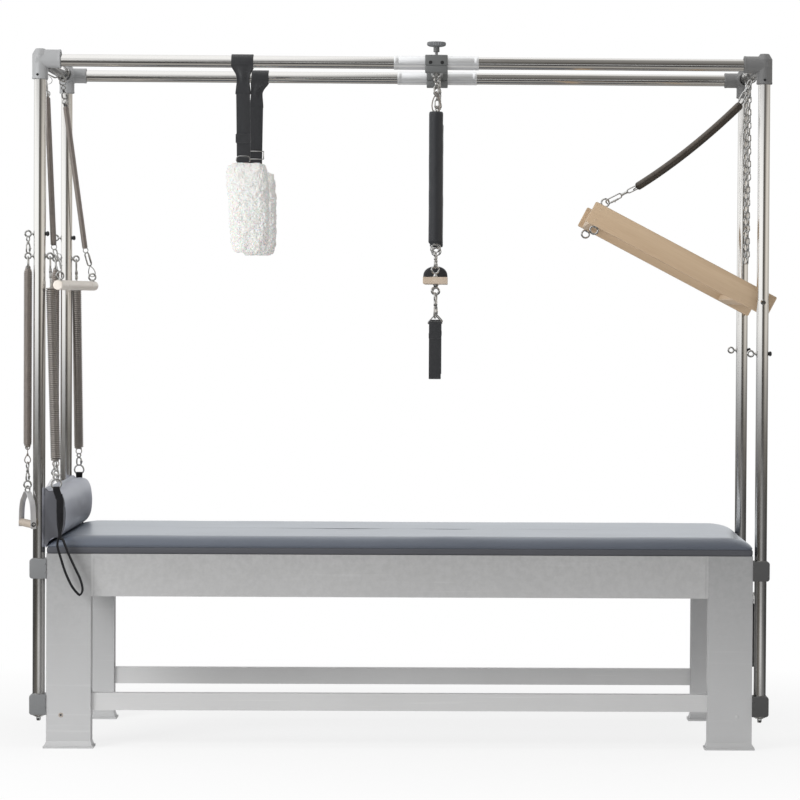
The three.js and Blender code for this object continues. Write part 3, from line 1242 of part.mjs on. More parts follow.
function buildLegSprings() {
  for (const [sideName, sy] of SIDES) {
    const eyeX = -POST_X + EYE_REACH_INNER;
    const y = sy * POST_Y;
    const lean = sy < 0 ? LEG_SPRING_LEAN_X_NEAR : LEG_SPRING_LEAN_X_REAR;
    const linkTop = hangTop(EYE_HEIGHT_LOWER, EYE_RADIUS, EYE_WIRE, SNAP_WIRE) + 3 * HANG_GAP;
    const drop = linkTop - LEG_SNAP_BOTTOM;
    const at = (height) => {
      const share = (linkTop - height) / drop;
      return [eyeX + lean * share, y + sy * LEG_SPRING_LEAN_Y * share, height];
    };
    const wireRadius = LEG_SPRING_WIRE / 2;
    const topLoop = at(LEG_SPRING_TOP + wireRadius - SNAP_WIRE);
    const lowRing = LEG_SPRING_BOTTOM - 2 * BOARD_EYE_RADIUS;
    const slotWidth = FOOT_STRAP_WIDTH + 2 * HANG_GAP + 8 * SNAP_WIRE;
    const parts = [
      link(at(linkTop), topLoop, SNAP_WIDTH, SNAP_WIRE, [0, 1, 0]),
      coil(at(LEG_SPRING_TOP), at(LEG_SPRING_BOTTOM), LEG_SPRING_DIAMETER, wireRadius, LEG_SPRING_TURNS),
      link(at(LEG_SPRING_BOTTOM - wireRadius + SNAP_WIRE), at(lowRing), SNAP_WIDTH, SNAP_WIRE, [1, 0, 0]),
      slotRing(at(lowRing + 2 * SNAP_WIRE), at(LEG_SNAP_BOTTOM), slotWidth, SNAP_WIRE, [0, 1, 0]),
    ];
    place(`leg_spring_${sideName}`, shape(parts), springSteel);
    place(`foot_loop_${sideName}`, footLoop(at(LEG_SNAP_BOTTOM)), blackWebbing);
  }
}

// Webbing sewn round the bar of its ring, doubled down to a fork, then open in a loop hanging to one side
function footLoop(snap) {
  const t = WEBBING_THICKNESS;
  const eyeRadius = SNAP_WIRE + 2 * HANG_GAP;
  const eyeHeight = snap[2] + SNAP_WIRE;
  const drop = FOOT_STRAP_FORK - FOOT_LOOP_BOTTOM;
  const leftShares = [[-0.09, 0.675], [0.05, 0.485], [0.26, 0.29], [0.54, 0.112], [0.82, 0.01]];
  const rightShares = [[0.93, 0.01], [1, 0.08], [0.9, 0.21], [0.65, 0.374], [0.37, 0.54], [0.09, 0.694]];
  const path = [[0, 1], ...leftShares, ...rightShares].map(([across, up]) => [
    across * FOOT_LOOP_SWAY,
    FOOT_LOOP_BOTTOM + up * drop,
  ]);
  const [outside, inside] = bandOutlines(path, t);
  const neck = eyeHeight - eyeRadius;
  const arc = (radius, steps, from, sweep) => {
    const points = [];
    for (let i = 0; i <= steps; i += 1) {
      const angle = from + sweep * i / steps;
      points.push([radius * Math.cos(angle), eyeHeight + radius * Math.sin(angle)]);
    }
    return points;
  };
  const crown = arc(eyeRadius + t, CURL_STEPS, 0, Math.PI);
  const outer = [...crown, [-t, neck], ...outside.slice(1), [t, neck]];
  const eye = arc(eyeRadius, CURL_STEPS - 1, 0, 2 * Math.PI * (1 - 1 / CURL_STEPS));
  const flat = new THREE.Shape(outer.map(([x, z]) => new THREE.Vector2(x, z)));
  for (const hole of [eye, inside]) {
    flat.holes.push(new THREE.Path(hole.map(([x, z]) => new THREE.Vector2(x, z))));
  }
  const across = { depth: FOOT_STRAP_WIDTH, bevelEnabled: false, steps: 1 };
  const geometry = new THREE.ExtrudeGeometry(flat, across);
  geometry.rotateX(Math.PI / 2);
  return geometry.translate(snap[0], snap[1] + FOOT_STRAP_WIDTH / 2, 0);
}

// Push-through frame on pivot pins in the right posts
function buildPushFrame() {
  const outerY = POST_Y - TUBE_RADIUS - PUSH_SIDE_GAP;
  const innerY = outerY - PUSH_ARM_THICKNESS;
  const parts = [];
  const half = PUSH_ARM_WIDTH / 2;
  const head = -(PUSH_ARM_LENGTH - PUSH_ARM_TAIL);
  for (const [, sy] of SIDES) {
    const ys = [sy * innerY, sy * outerY].sort((a, b) => a - b);
    parts.push(block([head, ys[0], -half], [PUSH_ARM_TAIL, ys[1], half]));
  }
  const crossLow = head + PUSH_CROSS_INSET;
  const crossReach = innerY + PUSH_TENON;
  parts.push(block([crossLow, -crossReach, -half], [crossLow + PUSH_CROSS_THICKNESS, crossReach, half]));
  const heelHigh = head + PUSH_HEEL_INSET;
  const heelTop = PUSH_CROSS_THICKNESS - half;
  parts.push(block([heelHigh - PUSH_HEEL_WIDTH, -crossReach, -half], [heelHigh, crossReach, heelTop]));
  const eyeX = head + PUSH_EYE_INSET;
  const topEye = half + PUSH_EYE_RISE;
  parts.push(block(
    [crossLow, -PUSH_CROSS_THICKNESS, half - PUSH_CROSS_THICKNESS],
    [eyeX + PUSH_CROSS_THICKNESS / 2, PUSH_CROSS_THICKNESS, half],
  ));
  parts.push(rod([eyeX, 0, half - CUT_OVERRUN], [eyeX, 0, topEye - BOARD_EYE_RADIUS], EYE_ROD));
  parts.push(ring([eyeX, 0, topEye], [0, 1, 0], BOARD_EYE_RADIUS, EYE_WIRE));
  for (const [, sy] of SIDES) {
    const y = sy * (innerY + outerY) / 2;
    const lowEye = -half - BOARD_EYE_RADIUS;
    parts.push(rod([eyeX, y, -half + CUT_OVERRUN], [eyeX, y, lowEye + BOARD_EYE_RADIUS / 2], EYE_ROD));
    parts.push(ring([eyeX, y, lowEye], [0, 1, 0], BOARD_EYE_RADIUS, EYE_WIRE));
  }
  const cuts = [];
  for (const [, sy] of SIDES) {
    cuts.push(rod(
      [0, sy * (innerY - CUT_OVERRUN), 0],
      [0, sy * (outerY + CUT_OVERRUN), 0],
      PIVOT_PIN_RADIUS + REST_GAP,
      TUBE_SIDES,
    ));
  }
  const frame = place('push_through_frame', shape(parts, cuts), beech);
  frame.position.set(POST_X, 0, PUSH_PIVOT_HEIGHT);
  frame.rotation.y = PUSH_ARM_ANGLE;
}

// Spring from the right end tube down to the upper eye of the push-through frame
function buildPushSpring() {
  const outer = BAND_RADIUS + HOOK_BAND_THICKNESS;
  const bandSide = HOOK_BAND_WIDTH / 2;
  const band = pipe([POST_X, -bandSide, TUBE_HEIGHT], [POST_X, bandSide, TUBE_HEIGHT], outer, BAND_RADIUS);
  const eyeX = PUSH_ARM_TAIL + PUSH_EYE_INSET - PUSH_ARM_LENGTH;
  const eye = new THREE.Vector3(eyeX, 0, PUSH_ARM_WIDTH / 2 + PUSH_EYE_RISE);
  eye.applyAxisAngle(new THREE.Vector3(0, 1, 0), PUSH_ARM_ANGLE);
  eye.add(new THREE.Vector3(POST_X, 0, PUSH_PIVOT_HEIGHT));
  const top = new THREE.Vector3(POST_X - PUSH_SPRING_TOP_INWARD, 0, TUBE_HEIGHT - PUSH_SPRING_TOP_DROP);
  const bottom = eye.clone().add(new THREE.Vector3(PUSH_SNAP_OUTWARD, 0, PUSH_SNAP_RISE));
  const points = [];
  const steps = 10;
  for (let i = 0; i <= steps; i += 1) {
    const share = i / steps;
    const point = top.clone().lerp(bottom, share);
    point.z -= PUSH_SPRING_SAG * 4 * share * (1 - share);
    points.push(point);
  }
  const along = bottom.clone().sub(eye).normalize();
  const inEye = BOARD_EYE_RADIUS - EYE_WIRE - 2 * HANG_GAP - 2 * SNAP_WIRE;
  const hookEnd = eye.clone().addScaledVector(along, inEye);
  const centre = new THREE.Vector3(POST_X, 0, TUBE_HEIGHT);
  const pull = top.clone().sub(centre).normalize();
  const hang = centre.addScaledVector(pull, outer - HOOK_BAND_THICKNESS / 2).toArray();
  const hookLow = top.clone().lerp(bottom, EYE_RADIUS / top.distanceTo(bottom)).toArray();
  const snapTop = bottom.clone().addScaledVector(along, EYE_RADIUS).toArray();
  const body = shape([
    band,
    link(hang, hookLow, SNAP_WIDTH, SNAP_WIRE, [0, 1, 0]),
    wire(points, PUSH_SPRING_DIAMETER / 2, ROD_SIDES, false),
    link(snapTop, hookEnd.toArray(), SNAP_WIDTH, SNAP_WIRE, [0, 1, 0]),
  ]);
  place('push_through_spring', body, springSteel);
}

// Doubled safety chain hooked over the right end tube
function buildChain() {
  const hookRadius = BORE_RADIUS + CHAIN_WIRE + HANG_GAP;
  const hook = ring([POST_X, CHAIN_Y, TUBE_HEIGHT], [0, 1, 0], hookRadius, CHAIN_WIRE, TUBE_SIDES);
  const spread = CHAIN_STRAND_SPACING / 2;
  const top = TUBE_HEIGHT - hookRadius;
  const pieces = [hook];
  const step = CHAIN_LINK_LENGTH - 2 * CHAIN_WIRE;
  pieces.push(rod([POST_X - spread, CHAIN_Y, top], [POST_X + spread, CHAIN_Y, top], CHAIN_WIRE, RING_SIDES));
  for (const side of [-1, 1]) {
    const x = POST_X + side * spread;
    let height = top + CHAIN_WIRE;
    const width = CHAIN_LINK_WIDTH - CHAIN_WIRE;
    for (let i = 0; height - CHAIN_LINK_LENGTH > TUBE_HEIGHT - CHAIN_LENGTH; i += 1) {
      const across = i % 2 ? [1, 0, 0] : [0, 1, 0];
      const from = [x, CHAIN_Y, height];
      const to = [x, CHAIN_Y, height - CHAIN_LINK_LENGTH];
      pieces.push(link(from, to, width, CHAIN_WIRE, across, CHAIN_BEND_STEPS, CHAIN_SIDES));
      height -= step;
    }
  }
  place('safety_chain', shape(pieces), chrome);
}

// Hanging strap on a ring over the stud in the right end rail
function buildEndStrap() {
  const x = BENCH_END + END_STRAP_STANDOFF;
  const half = END_STRAP_THICKNESS / 2;
  const top = END_STRAP_STUD_HEIGHT + EYE_ROD + REST_GAP + END_STRAP_RING_WIRE;
  const centre = top - END_STRAP_RING;
  const band = block(
    [x - half, END_STRAP_Y - WEBBING_WIDTH / 2, END_STRAP_BOTTOM],
    [x + half, END_STRAP_Y + WEBBING_WIDTH / 2, centre - END_STRAP_RING + END_STRAP_RING_WIRE],
  );
  const eye = ring([x, END_STRAP_Y, centre], [1, 0, 0], END_STRAP_RING, END_STRAP_RING_WIRE);
  place('end_strap', shape([band, eye]), blackWebbing);
}

buildBench();
buildMat();
buildBolster();
buildClamps();
buildPosts();
buildCastings();
buildOverhead();
buildCarriage();
buildTrapeze();
buildFleeceLoops();
buildRollDown();
buildArmSprings();
buildLegSprings();
buildPushFrame();
buildPushSpring();
buildChain();
buildEndStrap();
console.log(`least gap between curls ${leastCurlGap.toFixed(2)} mm`);

export default table;
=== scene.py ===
# Trapeze table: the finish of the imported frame, as it stands in the photograph.
# Lengths in the shapes are millimetres. X runs along the table, Y from the near side to the rear, Z up from the floor.
import json
import math

import bmesh
import bpy
import numpy as np
from mathutils import Matrix, Vector

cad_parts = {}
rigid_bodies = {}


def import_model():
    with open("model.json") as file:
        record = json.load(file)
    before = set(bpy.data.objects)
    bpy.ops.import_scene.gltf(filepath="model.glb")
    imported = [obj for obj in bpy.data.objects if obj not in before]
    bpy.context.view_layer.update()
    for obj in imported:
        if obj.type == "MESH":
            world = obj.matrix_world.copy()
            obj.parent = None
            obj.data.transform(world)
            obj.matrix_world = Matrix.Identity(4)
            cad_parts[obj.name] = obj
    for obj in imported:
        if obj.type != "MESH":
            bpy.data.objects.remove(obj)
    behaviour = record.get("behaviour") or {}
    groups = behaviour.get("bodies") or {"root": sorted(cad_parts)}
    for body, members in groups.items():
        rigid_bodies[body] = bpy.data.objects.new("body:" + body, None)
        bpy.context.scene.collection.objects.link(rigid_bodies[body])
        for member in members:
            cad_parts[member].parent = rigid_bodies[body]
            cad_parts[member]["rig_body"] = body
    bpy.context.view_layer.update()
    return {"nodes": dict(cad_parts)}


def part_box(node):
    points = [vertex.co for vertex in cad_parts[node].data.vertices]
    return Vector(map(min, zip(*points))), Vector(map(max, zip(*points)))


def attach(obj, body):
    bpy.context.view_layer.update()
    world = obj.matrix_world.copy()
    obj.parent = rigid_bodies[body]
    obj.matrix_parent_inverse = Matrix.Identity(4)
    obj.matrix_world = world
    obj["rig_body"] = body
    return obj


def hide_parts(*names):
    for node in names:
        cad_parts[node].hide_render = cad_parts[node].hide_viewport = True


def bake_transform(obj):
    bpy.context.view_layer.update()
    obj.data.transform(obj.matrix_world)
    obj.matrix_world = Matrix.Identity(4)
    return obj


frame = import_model()

# Sizes shared with the frame, in millimetres
MM = 0.001
POST_X = 1124
POST_Y = 320
TUBE_Z = 2134
TUBE = 19
BENCH_END = 1098
BENCH_SIDE = 343
BENCH_TOP = 605
MAT_SEAM = 625.3
MAT_CROWN = 34.7
EYE_WIRE = 3
EYE_RADIUS = 9
WIRE = 2.6
RING_RADIUS = 11
CARRIAGE_X = 103
PUSH_TURN = math.radians(27.6)
PUSH_PIVOT = (1124.0, 0.0, 1398.0)
SIDES = (("near", -1), ("rear", 1))
ENDS = (("left", -1), ("right", 1))
X_AXIS, Y_AXIS, Z_AXIS = np.eye(3)

# Photograph's camera
CAMERA_PLACE = (0.14535, -9.46121, 1.40417)
CAMERA_YAW = 0.01928
CAMERA_PITCH = 0.0222
CAMERA_ROLL = -0.006
FOCAL_PIXELS = 2936.68
PRINCIPAL_PIXEL = (505.0, 363.8)
IMAGE_SIDE = 800
SENSOR_WIDTH = 36


def make_camera():
    """Camera solved from the photograph: forward turned by yaw towards +X, down by pitch, then rolled."""
    camera = bpy.data.objects.new("camera", bpy.data.cameras.new("camera"))
    bpy.context.scene.collection.objects.link(camera)
    turn = Matrix.Rotation(-CAMERA_YAW, 4, "Z") @ Matrix.Rotation(-CAMERA_PITCH, 4, "X")
    look = Matrix.Rotation(math.pi / 2, 4, "X")
    roll = Matrix.Rotation(-CAMERA_ROLL, 4, "Z")
    camera.matrix_world = Matrix.Translation(CAMERA_PLACE) @ turn @ look @ roll
    camera.data.sensor_width = SENSOR_WIDTH
    camera.data.lens = FOCAL_PIXELS * SENSOR_WIDTH / IMAGE_SIDE
    camera.data.shift_x = (IMAGE_SIDE / 2 - PRINCIPAL_PIXEL[0]) / IMAGE_SIDE
    camera.data.shift_y = (PRINCIPAL_PIXEL[1] - IMAGE_SIDE / 2) / IMAGE_SIDE
    camera.data.clip_end = 100
    bpy.context.scene.camera = camera


make_camera()
bpy.context.scene.view_settings.view_transform = "Standard"


# Shapes worked out on grids

def vec(place):
    return np.asarray(place, float)


def unit(vector):
    """Vector or rows of vectors, at length one."""
    vector = vec(vector)
    return vector / np.linalg.norm(vector, axis=-1, keepdims=True)


def lengths(path):
    """Length of a path from its start to each of its points."""
    return np.concatenate([[0], np.cumsum(np.linalg.norm(np.diff(path, axis=0), axis=1))])


def eased(share):
    """Share from 0 to 1, with a soft start and end."""
    return share * share * (3 - 2 * share)


def grid(points, closed_rows=False):
    """Surface through points [row, column, xyz] that closes round its columns, with UV in the points' own unit."""
    rows, cols = points.shape[:2]
    i, j = np.meshgrid(np.arange(rows if closed_rows else rows - 1), np.arange(cols), indexing="ij")
    corners = [(i, j), (i, j + 1), (i + 1, j + 1), (i + 1, j)]
    quads = np.stack([(a % rows) * cols + b % cols for a, b in corners], axis=-1).reshape(-1, 4)
    step_row = np.linalg.norm(np.diff(points, axis=0, append=points[:1]), axis=2).mean(axis=1)
    step_col = np.linalg.norm(np.diff(points, axis=1, append=points[:, :1]), axis=2).mean(axis=0)
    along = np.concatenate([[0], np.cumsum(step_row)])
    across = np.concatenate([[0], np.cumsum(step_col)])
    uv = np.stack([np.stack([across[b], along[a]], axis=-1) for a, b in corners], axis=-2).reshape(-1, 4, 2)
    caps = [] if closed_rows else [np.arange(cols), (rows - 1) * cols + np.arange(cols)[::-1]]
    return {"v": points.reshape(-1, 3), "q": quads, "uv": uv, "caps": caps}


def circle(radius, sides):
    """Points of a circle as [side, xy]."""
    angle = np.arange(sides) * 2 * np.pi / sides
    return radius * np.stack([np.cos(angle), np.sin(angle)], axis=1)


def ring_about(axis, radius, sides, first):
    """Circle of points about an axis. It starts square to coordinate axis number first, or to X if that is near."""
    side = unit(np.cross(axis, np.eye(3)[first if abs(axis[first]) < 0.9 else 0]))
    ring = circle(radius, sides)
    return ring[:, :1] * side + ring[:, 1:] * np.cross(axis, side)


def sweep(path, section, reference, closed=False, reach=None):
    """Section carried along a path: its first axis lies across the path and the reference, its second beside it."""
    path = vec(path)
    if closed:
        tangent = unit(np.roll(path, -1, axis=0) - np.roll(path, 1, axis=0))
    else:
        tangent = unit(np.gradient(path, axis=0))
    side = unit(np.cross(tangent, reference))
    up = np.cross(side, tangent)
    section = vec(section)
    offset = section[None, :, :1] * side[:, None] + section[None, :, 1:] * up[:, None]
    if reach is not None:
        offset = offset * reach[:, None, None]
    return grid(path[:, None] + offset, closed)


def revolve(start, end, profile, sides):
    """Profile of (share of the length, radius) turned about the line from start to end."""
    start, end, profile = vec(start), vec(end), vec(profile)
    around = ring_about(unit(end - start), 1.0, sides, 1)
    centre = start + profile[:, :1] * (end - start)
    return grid(centre[:, None] + profile[:, 1][:, None, None] * around[None])


def turned(start, end, profile, sides):
    """Solid turned piece: its profile runs from the line and back to it."""
    return revolve(start, end, [(0, 0), *profile, (1, 0)], sides)


def stud(face, out, sunk, proud, profile, sides):
    """Turned piece on a face: it starts sunk below the face and stands proud of it."""
    return turned(face - out * sunk, face + out * proud, profile, sides)


def mirrored(half, middle=0.0, between=()):
    """Points through half, then between, then half again from the other side of a middle line."""
    return [*half, *between, *((2 * middle - a, b) for a, b in reversed(half))]


def rounded_rod(start, end, radius, edge, sides=64):
    """Round bar whose two edges are rounded by a quarter circle."""
    length = np.linalg.norm(np.subtract(end, start))
    angle = np.linspace(0, np.pi / 2, 5)
    first = np.stack([edge * (1 - np.sin(angle)) / length, radius - edge * (1 - np.cos(angle))], axis=1)[::-1]
    last = np.stack([1 - first[:, 0], first[:, 1]], axis=1)[::-1]
    return revolve(start, end, np.concatenate([first, last]), sides)


def torus(centre, axis, radius, wire, steps=40, sides=12):
    """Ring of round wire about an axis."""
    axis = unit(axis)
    return sweep(vec(centre) + ring_about(axis, radius, steps, 2), circle(wire, sides), axis, closed=True)


def span(top, bottom, across):
    """Line between two places: its ends, direction and length, and the part of across that is square to it."""
    top, bottom = vec(top), vec(bottom)
    along = unit(bottom - top)
    return top, bottom, along, unit(vec(across) - np.dot(across, along) * along), np.linalg.norm(bottom - top)


def oval(top, bottom, width, wire, across, bend_steps=9, sides=10):
    """Long link: two half circles of wire joined by straights, between its outermost points."""
    top, bottom, along, flat, _ = span(top, bottom, across)
    bend = width / 2 - wire
    angle = np.linspace(0, np.pi, bend_steps)[:, None]
    arch = bend * (np.cos(angle) * flat + np.sin(angle) * along)
    low, high = bottom - along * (bend + wire) + arch, top + along * (bend + wire) - arch
    return sweep(np.concatenate([low, high]), circle(wire, sides), np.cross(along, flat), closed=True)


def smooth_path(points, count, closed=False):
    """Even points along a smooth curve (a cubic spline by Hermite pieces) through the given places."""
    points = vec(points)
    if closed:
        points = np.concatenate([points[-1:], points, points[:2]])
    else:
        points = np.concatenate([2 * points[:1] - points[1:2], points, 2 * points[-1:] - points[-2:-1]])
    tangent = (points[2:] - points[:-2]) / 2
    knots = points[1:-1]
    spans = len(knots) - 1
    place = np.linspace(0, spans, count * 4, endpoint=not closed)
    index = np.minimum(place.astype(int), spans - 1)
    t = (place - index)[:, None]
    a, b, ta, tb = knots[index], knots[index + 1], tangent[index], tangent[index + 1]
    curve = (2 * t**3 - 3 * t**2 + 1) * a + (t**3 - 2 * t**2 + t) * ta
    curve = curve + (3 * t**2 - 2 * t**3) * b + (t**3 - t**2) * tb
    length = lengths(curve)
    even = np.linspace(0, length[-1], count)
    return np.stack([np.interp(even, length, curve[:, k]) for k in range(3)], axis=1)


def rounded_rectangle(width, depth, corner, steps=5):
    """Outline of a rectangle with round corners as [point, xy], about its middle."""
    angle = np.linspace(0, np.pi / 2, steps)
    quarter = corner * np.stack([np.cos(angle), np.sin(angle)], axis=1)
    middle = np.array([width / 2 - corner, depth / 2 - corner])
    turns = [np.array([[math.cos(a), -math.sin(a)], [math.sin(a), math.cos(a)]]) for a in np.arange(4) * math.pi / 2]
    signs = [(1, 1), (-1, 1), (-1, -1), (1, -1)]
    return np.concatenate([quarter @ turn.T + middle * sign for turn, sign in zip(turns, signs)])


def edge_rows(half, edge, angle):
    """Rows of a prism from end to end as (place, inset), whose end edges are rounded through the angles."""
    level = half - edge * (1 - np.cos(angle))
    inset = edge * (1 - np.sin(angle))
    return zip([*-level, *level[::-1]], [*inset, *inset[::-1]])


def soft_box(low, high, corner, edge, axis=2):
    """Prism with a round-cornered outline across an axis, whose end edges are rounded off as well."""
    low, high = vec(low), vec(high)
    order = [(1, 2, 0), (2, 0, 1), (0, 1, 2)][axis]
    size = (high - low)[list(order)]
    middle = ((high + low) / 2)[list(order)]
    layers = []
    for height, shrink in edge_rows(size[2] / 2, edge, np.linspace(0, np.pi / 2, 4)):
        outline = rounded_rectangle(size[0] - 2 * shrink, size[1] - 2 * shrink, max(corner - shrink, corner / 4))
        layer = np.column_stack([outline, np.full(len(outline), height)]) + middle
        layers.append(layer[:, np.argsort(order)])
    return grid(np.stack(layers))


def moved(groups, axis, angle, offset):
    """Groups of (material, shapes) turned about a coordinate axis and then shifted."""
    turn = np.array(Matrix.Rotation(angle, 3, axis)).T
    return [(material, [{**one, "v": one["v"] @ turn + vec(offset)} for one in shapes]) for material, shapes in groups]


def upright(x, y):
    """Places above one another, as a function of their height."""
    return lambda z: np.array([x, y, z], float)


# Objects, and what they stand for

def body_of(node):
    """Name of the body that a CAD node rides on."""
    return frame["nodes"][node]["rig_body"]


def outward(mesh):
    """Each closed shell of the mesh faces out."""
    work = bmesh.new()
    work.from_mesh(mesh)
    bmesh.ops.recalc_face_normals(work, faces=work.faces)
    work.to_mesh(mesh)
    work.free()


def piece(name, groups, body=None, replaces=(), smooth=38):
    """One mesh object at the origin out of groups of (material, shapes)."""
    mesh = bpy.data.meshes.new(name)
    count = 0
    vertices, faces, uvs, places = [], [], [], []
    for place, (material, shapes) in enumerate(groups):
        mesh.materials.append(material)
        for shape in shapes:
            vertices.append(shape["v"])
            faces.extend((shape["q"] + count).tolist())
            uvs.append(shape["uv"].reshape(-1, 2))
            faces.extend((cap + count).tolist() for cap in shape["caps"])
            uvs.extend(shape["v"][cap][:, :2] for cap in shape["caps"])
            places.extend([place] * (len(shape["q"]) + len(shape["caps"])))
            count += len(shape["v"])
    mesh.from_pydata((np.concatenate(vertices) * MM).tolist(), [], faces)
    layer = mesh.uv_layers.new(name="UVMap")
    layer.data.foreach_set("uv", (np.concatenate(uvs) * MM).astype(np.float32).ravel())
    mesh.polygons.foreach_set("material_index", places)
    outward(mesh)
    mesh.shade_smooth()
    mesh.set_sharp_from_angle(angle=math.radians(smooth))
    obj = bpy.data.objects.new(name, mesh)
    bpy.context.scene.collection.objects.link(obj)
    if body:
        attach(obj, body)
    if replaces:
        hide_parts(*replaces)
    return obj


def finish(node, slot, *groups, smooth=38):
    """Piece that stands for a CAD node on the node's own body."""
    return piece(f"{node}_finish", groups, body_of(node), [node], smooth)


def centres_of(mesh):
    """Middle of each face, in metres."""
    centres = np.zeros(len(mesh.polygons) * 3)
    mesh.polygons.foreach_get("center", centres)
    return centres.reshape(-1, 3)


# Finishes

class Nodes:
    """Shader nodes of a material or a world, added one after the other."""

    def __init__(self, tree):
        self.tree = tree

    def add(self, kind, result, settings=(), **inputs):
        """Output of a new node; each input, by name or by number as _0, is a value or the output of another node."""
        node = self.tree.nodes.new(f"ShaderNode{kind}")
        for key, value in settings:
            setattr(node, key, value)
        for key, value in inputs.items():
            self.put(value, node.inputs[int(key[1:]) if key[0] == "_" else key.replace("_", " ")])
        return node.outputs[result]

    def put(self, value, socket):
        if isinstance(value, bpy.types.NodeSocket):
            self.tree.links.new(value, socket)
        else:
            socket.default_value = value

    def calculate(self, operation, a, b):
        return self.add("Math", 0, [("operation", operation)], _0=a, _1=b)

    def spread(self, fac, low, high, to_low=0.0, to_high=1.0):
        """Fac between low and high mapped between two values."""
        return self.add("MapRange", 0, Value=fac, From_Min=low, From_Max=high, To_Min=to_low, To_Max=to_high)

    def between(self, fac, low, high):
        """Colour between two others."""
        return self.add("Mix", 2, [("data_type", "RGBA")], _0=fac, _6=low, _7=high)


class Finish(Nodes):
    """A material with one shader, whose inputs are fed step by step."""

    def __init__(self, name, colour, roughness, metallic=0.0, **values):
        self.material = bpy.data.materials.new(name)
        self.material.use_nodes = True
        super().__init__(self.material.node_tree)
        self.shader = self.tree.nodes["Principled BSDF"]
        values = {"Base Color": (*colour, 1), "Roughness": roughness, "Metallic": metallic, **values}
        for key, value in values.items():
            self.put(value, self.shader.inputs[key.replace("_", " ")])
        self.object_place = self.add("TexCoord", "Object")
        self.uv_place = self.add("UVMap", "UV")

    def noise(self, scale, detail, stretch=None, rough=0.55):
        place = self.add("Mapping", 0, Vector=self.object_place, Scale=stretch) if stretch else self.object_place
        return self.add("TexNoise", "Fac", Vector=place, Scale=scale, Detail=detail, Roughness=rough)

    def cells(self, scale):
        return self.add("TexVoronoi", "Distance", Vector=self.object_place, Scale=scale)

    def wave(self, scale, direction, distortion=0.0):
        settings = [("bands_direction", direction)]
        return self.add("TexWave", "Fac", settings, Vector=self.uv_place, Scale=scale, Distortion=distortion)

    def source(self, name, size):
        """What an input of the shader has: the output that feeds it, or its value."""
        socket = self.shader.inputs[name]
        return socket.links[0].from_socket if socket.is_linked else socket.default_value[:size]

    def feed(self, name, output):
        self.put(output, self.shader.inputs[name])
        return self

    def tint(self, fac, dark, light):
        """Colour of the piece, multiplied from dark to light by fac."""
        level, colour = self.spread(fac, 0, 1, dark, light), self.source("Base Color", 3)
        return self.feed("Base Color", self.add("VectorMath", 0, [("operation", "SCALE")], _0=colour, Scale=level))

    def blend(self, fac, colour):
        """Colour of the piece mixed towards another one by fac."""
        return self.feed("Base Color", self.between(fac, self.source("Base Color", 4), (*colour, 1)))

    def rough(self, fac, low, high):
        return self.feed("Roughness", self.spread(fac, 0, 1, low, high))

    def bump(self, height, strength, distance):
        """Relief in millimetres added to the relief that is there."""
        relief = {"Height": height, "Strength": strength, "Distance": distance * MM}
        return self.feed("Normal", self.add("Bump", 0, Normal=self.source("Normal", 3), **relief))


def satin_metal(name, colour, roughness, metallic, grain, spots=0.06, brush=0.25):
    """Brushed or cast metal: fine lines or grit in colour, gloss and relief, and a slow change of tone."""
    made = Finish(name, colour, roughness, metallic)
    slow = made.noise(3.0, 2)
    fine = made.noise(1.0, 4, grain)
    made.tint(slow, 1 - spots, 1 + spots).tint(fine, 1 - spots, 1 + spots)
    made.rough(fine, roughness * 0.8, roughness * 1.25).bump(fine, brush, 0.15)
    return made.material


def mill_aluminium(name, colour, grain):
    """Bare bench aluminium: a cloudy etched skin, pale handling marks, fine drawing lines and a few scratches, with
    painted light that makes it lighter near the floor and darker higher up.
    """
    made = Finish(name, colour, 0.5, 0.3)
    cloud = made.noise(5.0, 3)
    spots = made.noise(60, 4, rough=0.6)
    fine = made.noise(1.0, 4, grain)
    marks = made.noise(1.0, 3, tuple(1.4 if g < 100 else 60 for g in grain), 0.7)
    up = made.add("SeparateXYZ", "Z", _0=made.object_place)
    patchy = made.calculate("MULTIPLY", made.spread(spots, 0.36, 0.64), made.spread(up, 0.3, 0.6))
    made.tint(cloud, 0.95, 1.05).tint(patchy, 1.0, 0.9).tint(fine, 0.965, 1.03)
    # Painted light: the colour is lighter near the floor and darker higher up, by the height of each point.
    made.tint(made.spread(marks, 0.6, 0.72), 1.0, 1.07).tint(made.spread(up, 0.05, 0.6), 1.26, 0.82)
    made.rough(spots, 0.36, 0.6).bump(fine, 0.15, 0.1).bump(spots, 0.1, 0.3)
    return made.material


def steel_tube(name, stretch):
    """Polished stainless tube: faint drawing lines along it, smudges and a little haze."""
    roughness = 0.13
    made = Finish(name, (0.74, 0.73, 0.71), roughness, 1.0)
    lines = made.noise(1.0, 2, stretch)
    smudge = made.noise(9.0, 4)
    made.tint(smudge, 0.95, 1.03).rough(smudge, roughness * 0.7, roughness * 1.5).bump(lines, 0.05, 0.05)
    return made.material


def moulded_plastic(name, colour):
    """Matt grey moulded plastic with a grainy skin and dull wear."""
    made = Finish(name, colour, 0.5)
    grit = made.noise(900, 2)
    cloud = made.noise(70, 4)
    made.tint(cloud, 0.65, 1.5).rough(cloud, 0.35, 0.6).bump(grit, 0.3, 0.1)
    return made.material


def spring_steel(name, colour, roughness):
    """Dark wound wire: a brownish oil film in patches of lighter and darker tone, and a fine drawn grain."""
    made = Finish(name, colour, roughness, 0.9)
    film = made.noise(60, 4)
    fine = made.noise(1600, 2)
    made.tint(film, 0.75, 1.25).blend(made.spread(film, 0.58, 0.75, 0, 0.35), (0.21, 0.15, 0.1))
    made.rough(film, roughness * 0.75, roughness * 1.3).bump(fine, 0.15, 0.05)
    return made.material


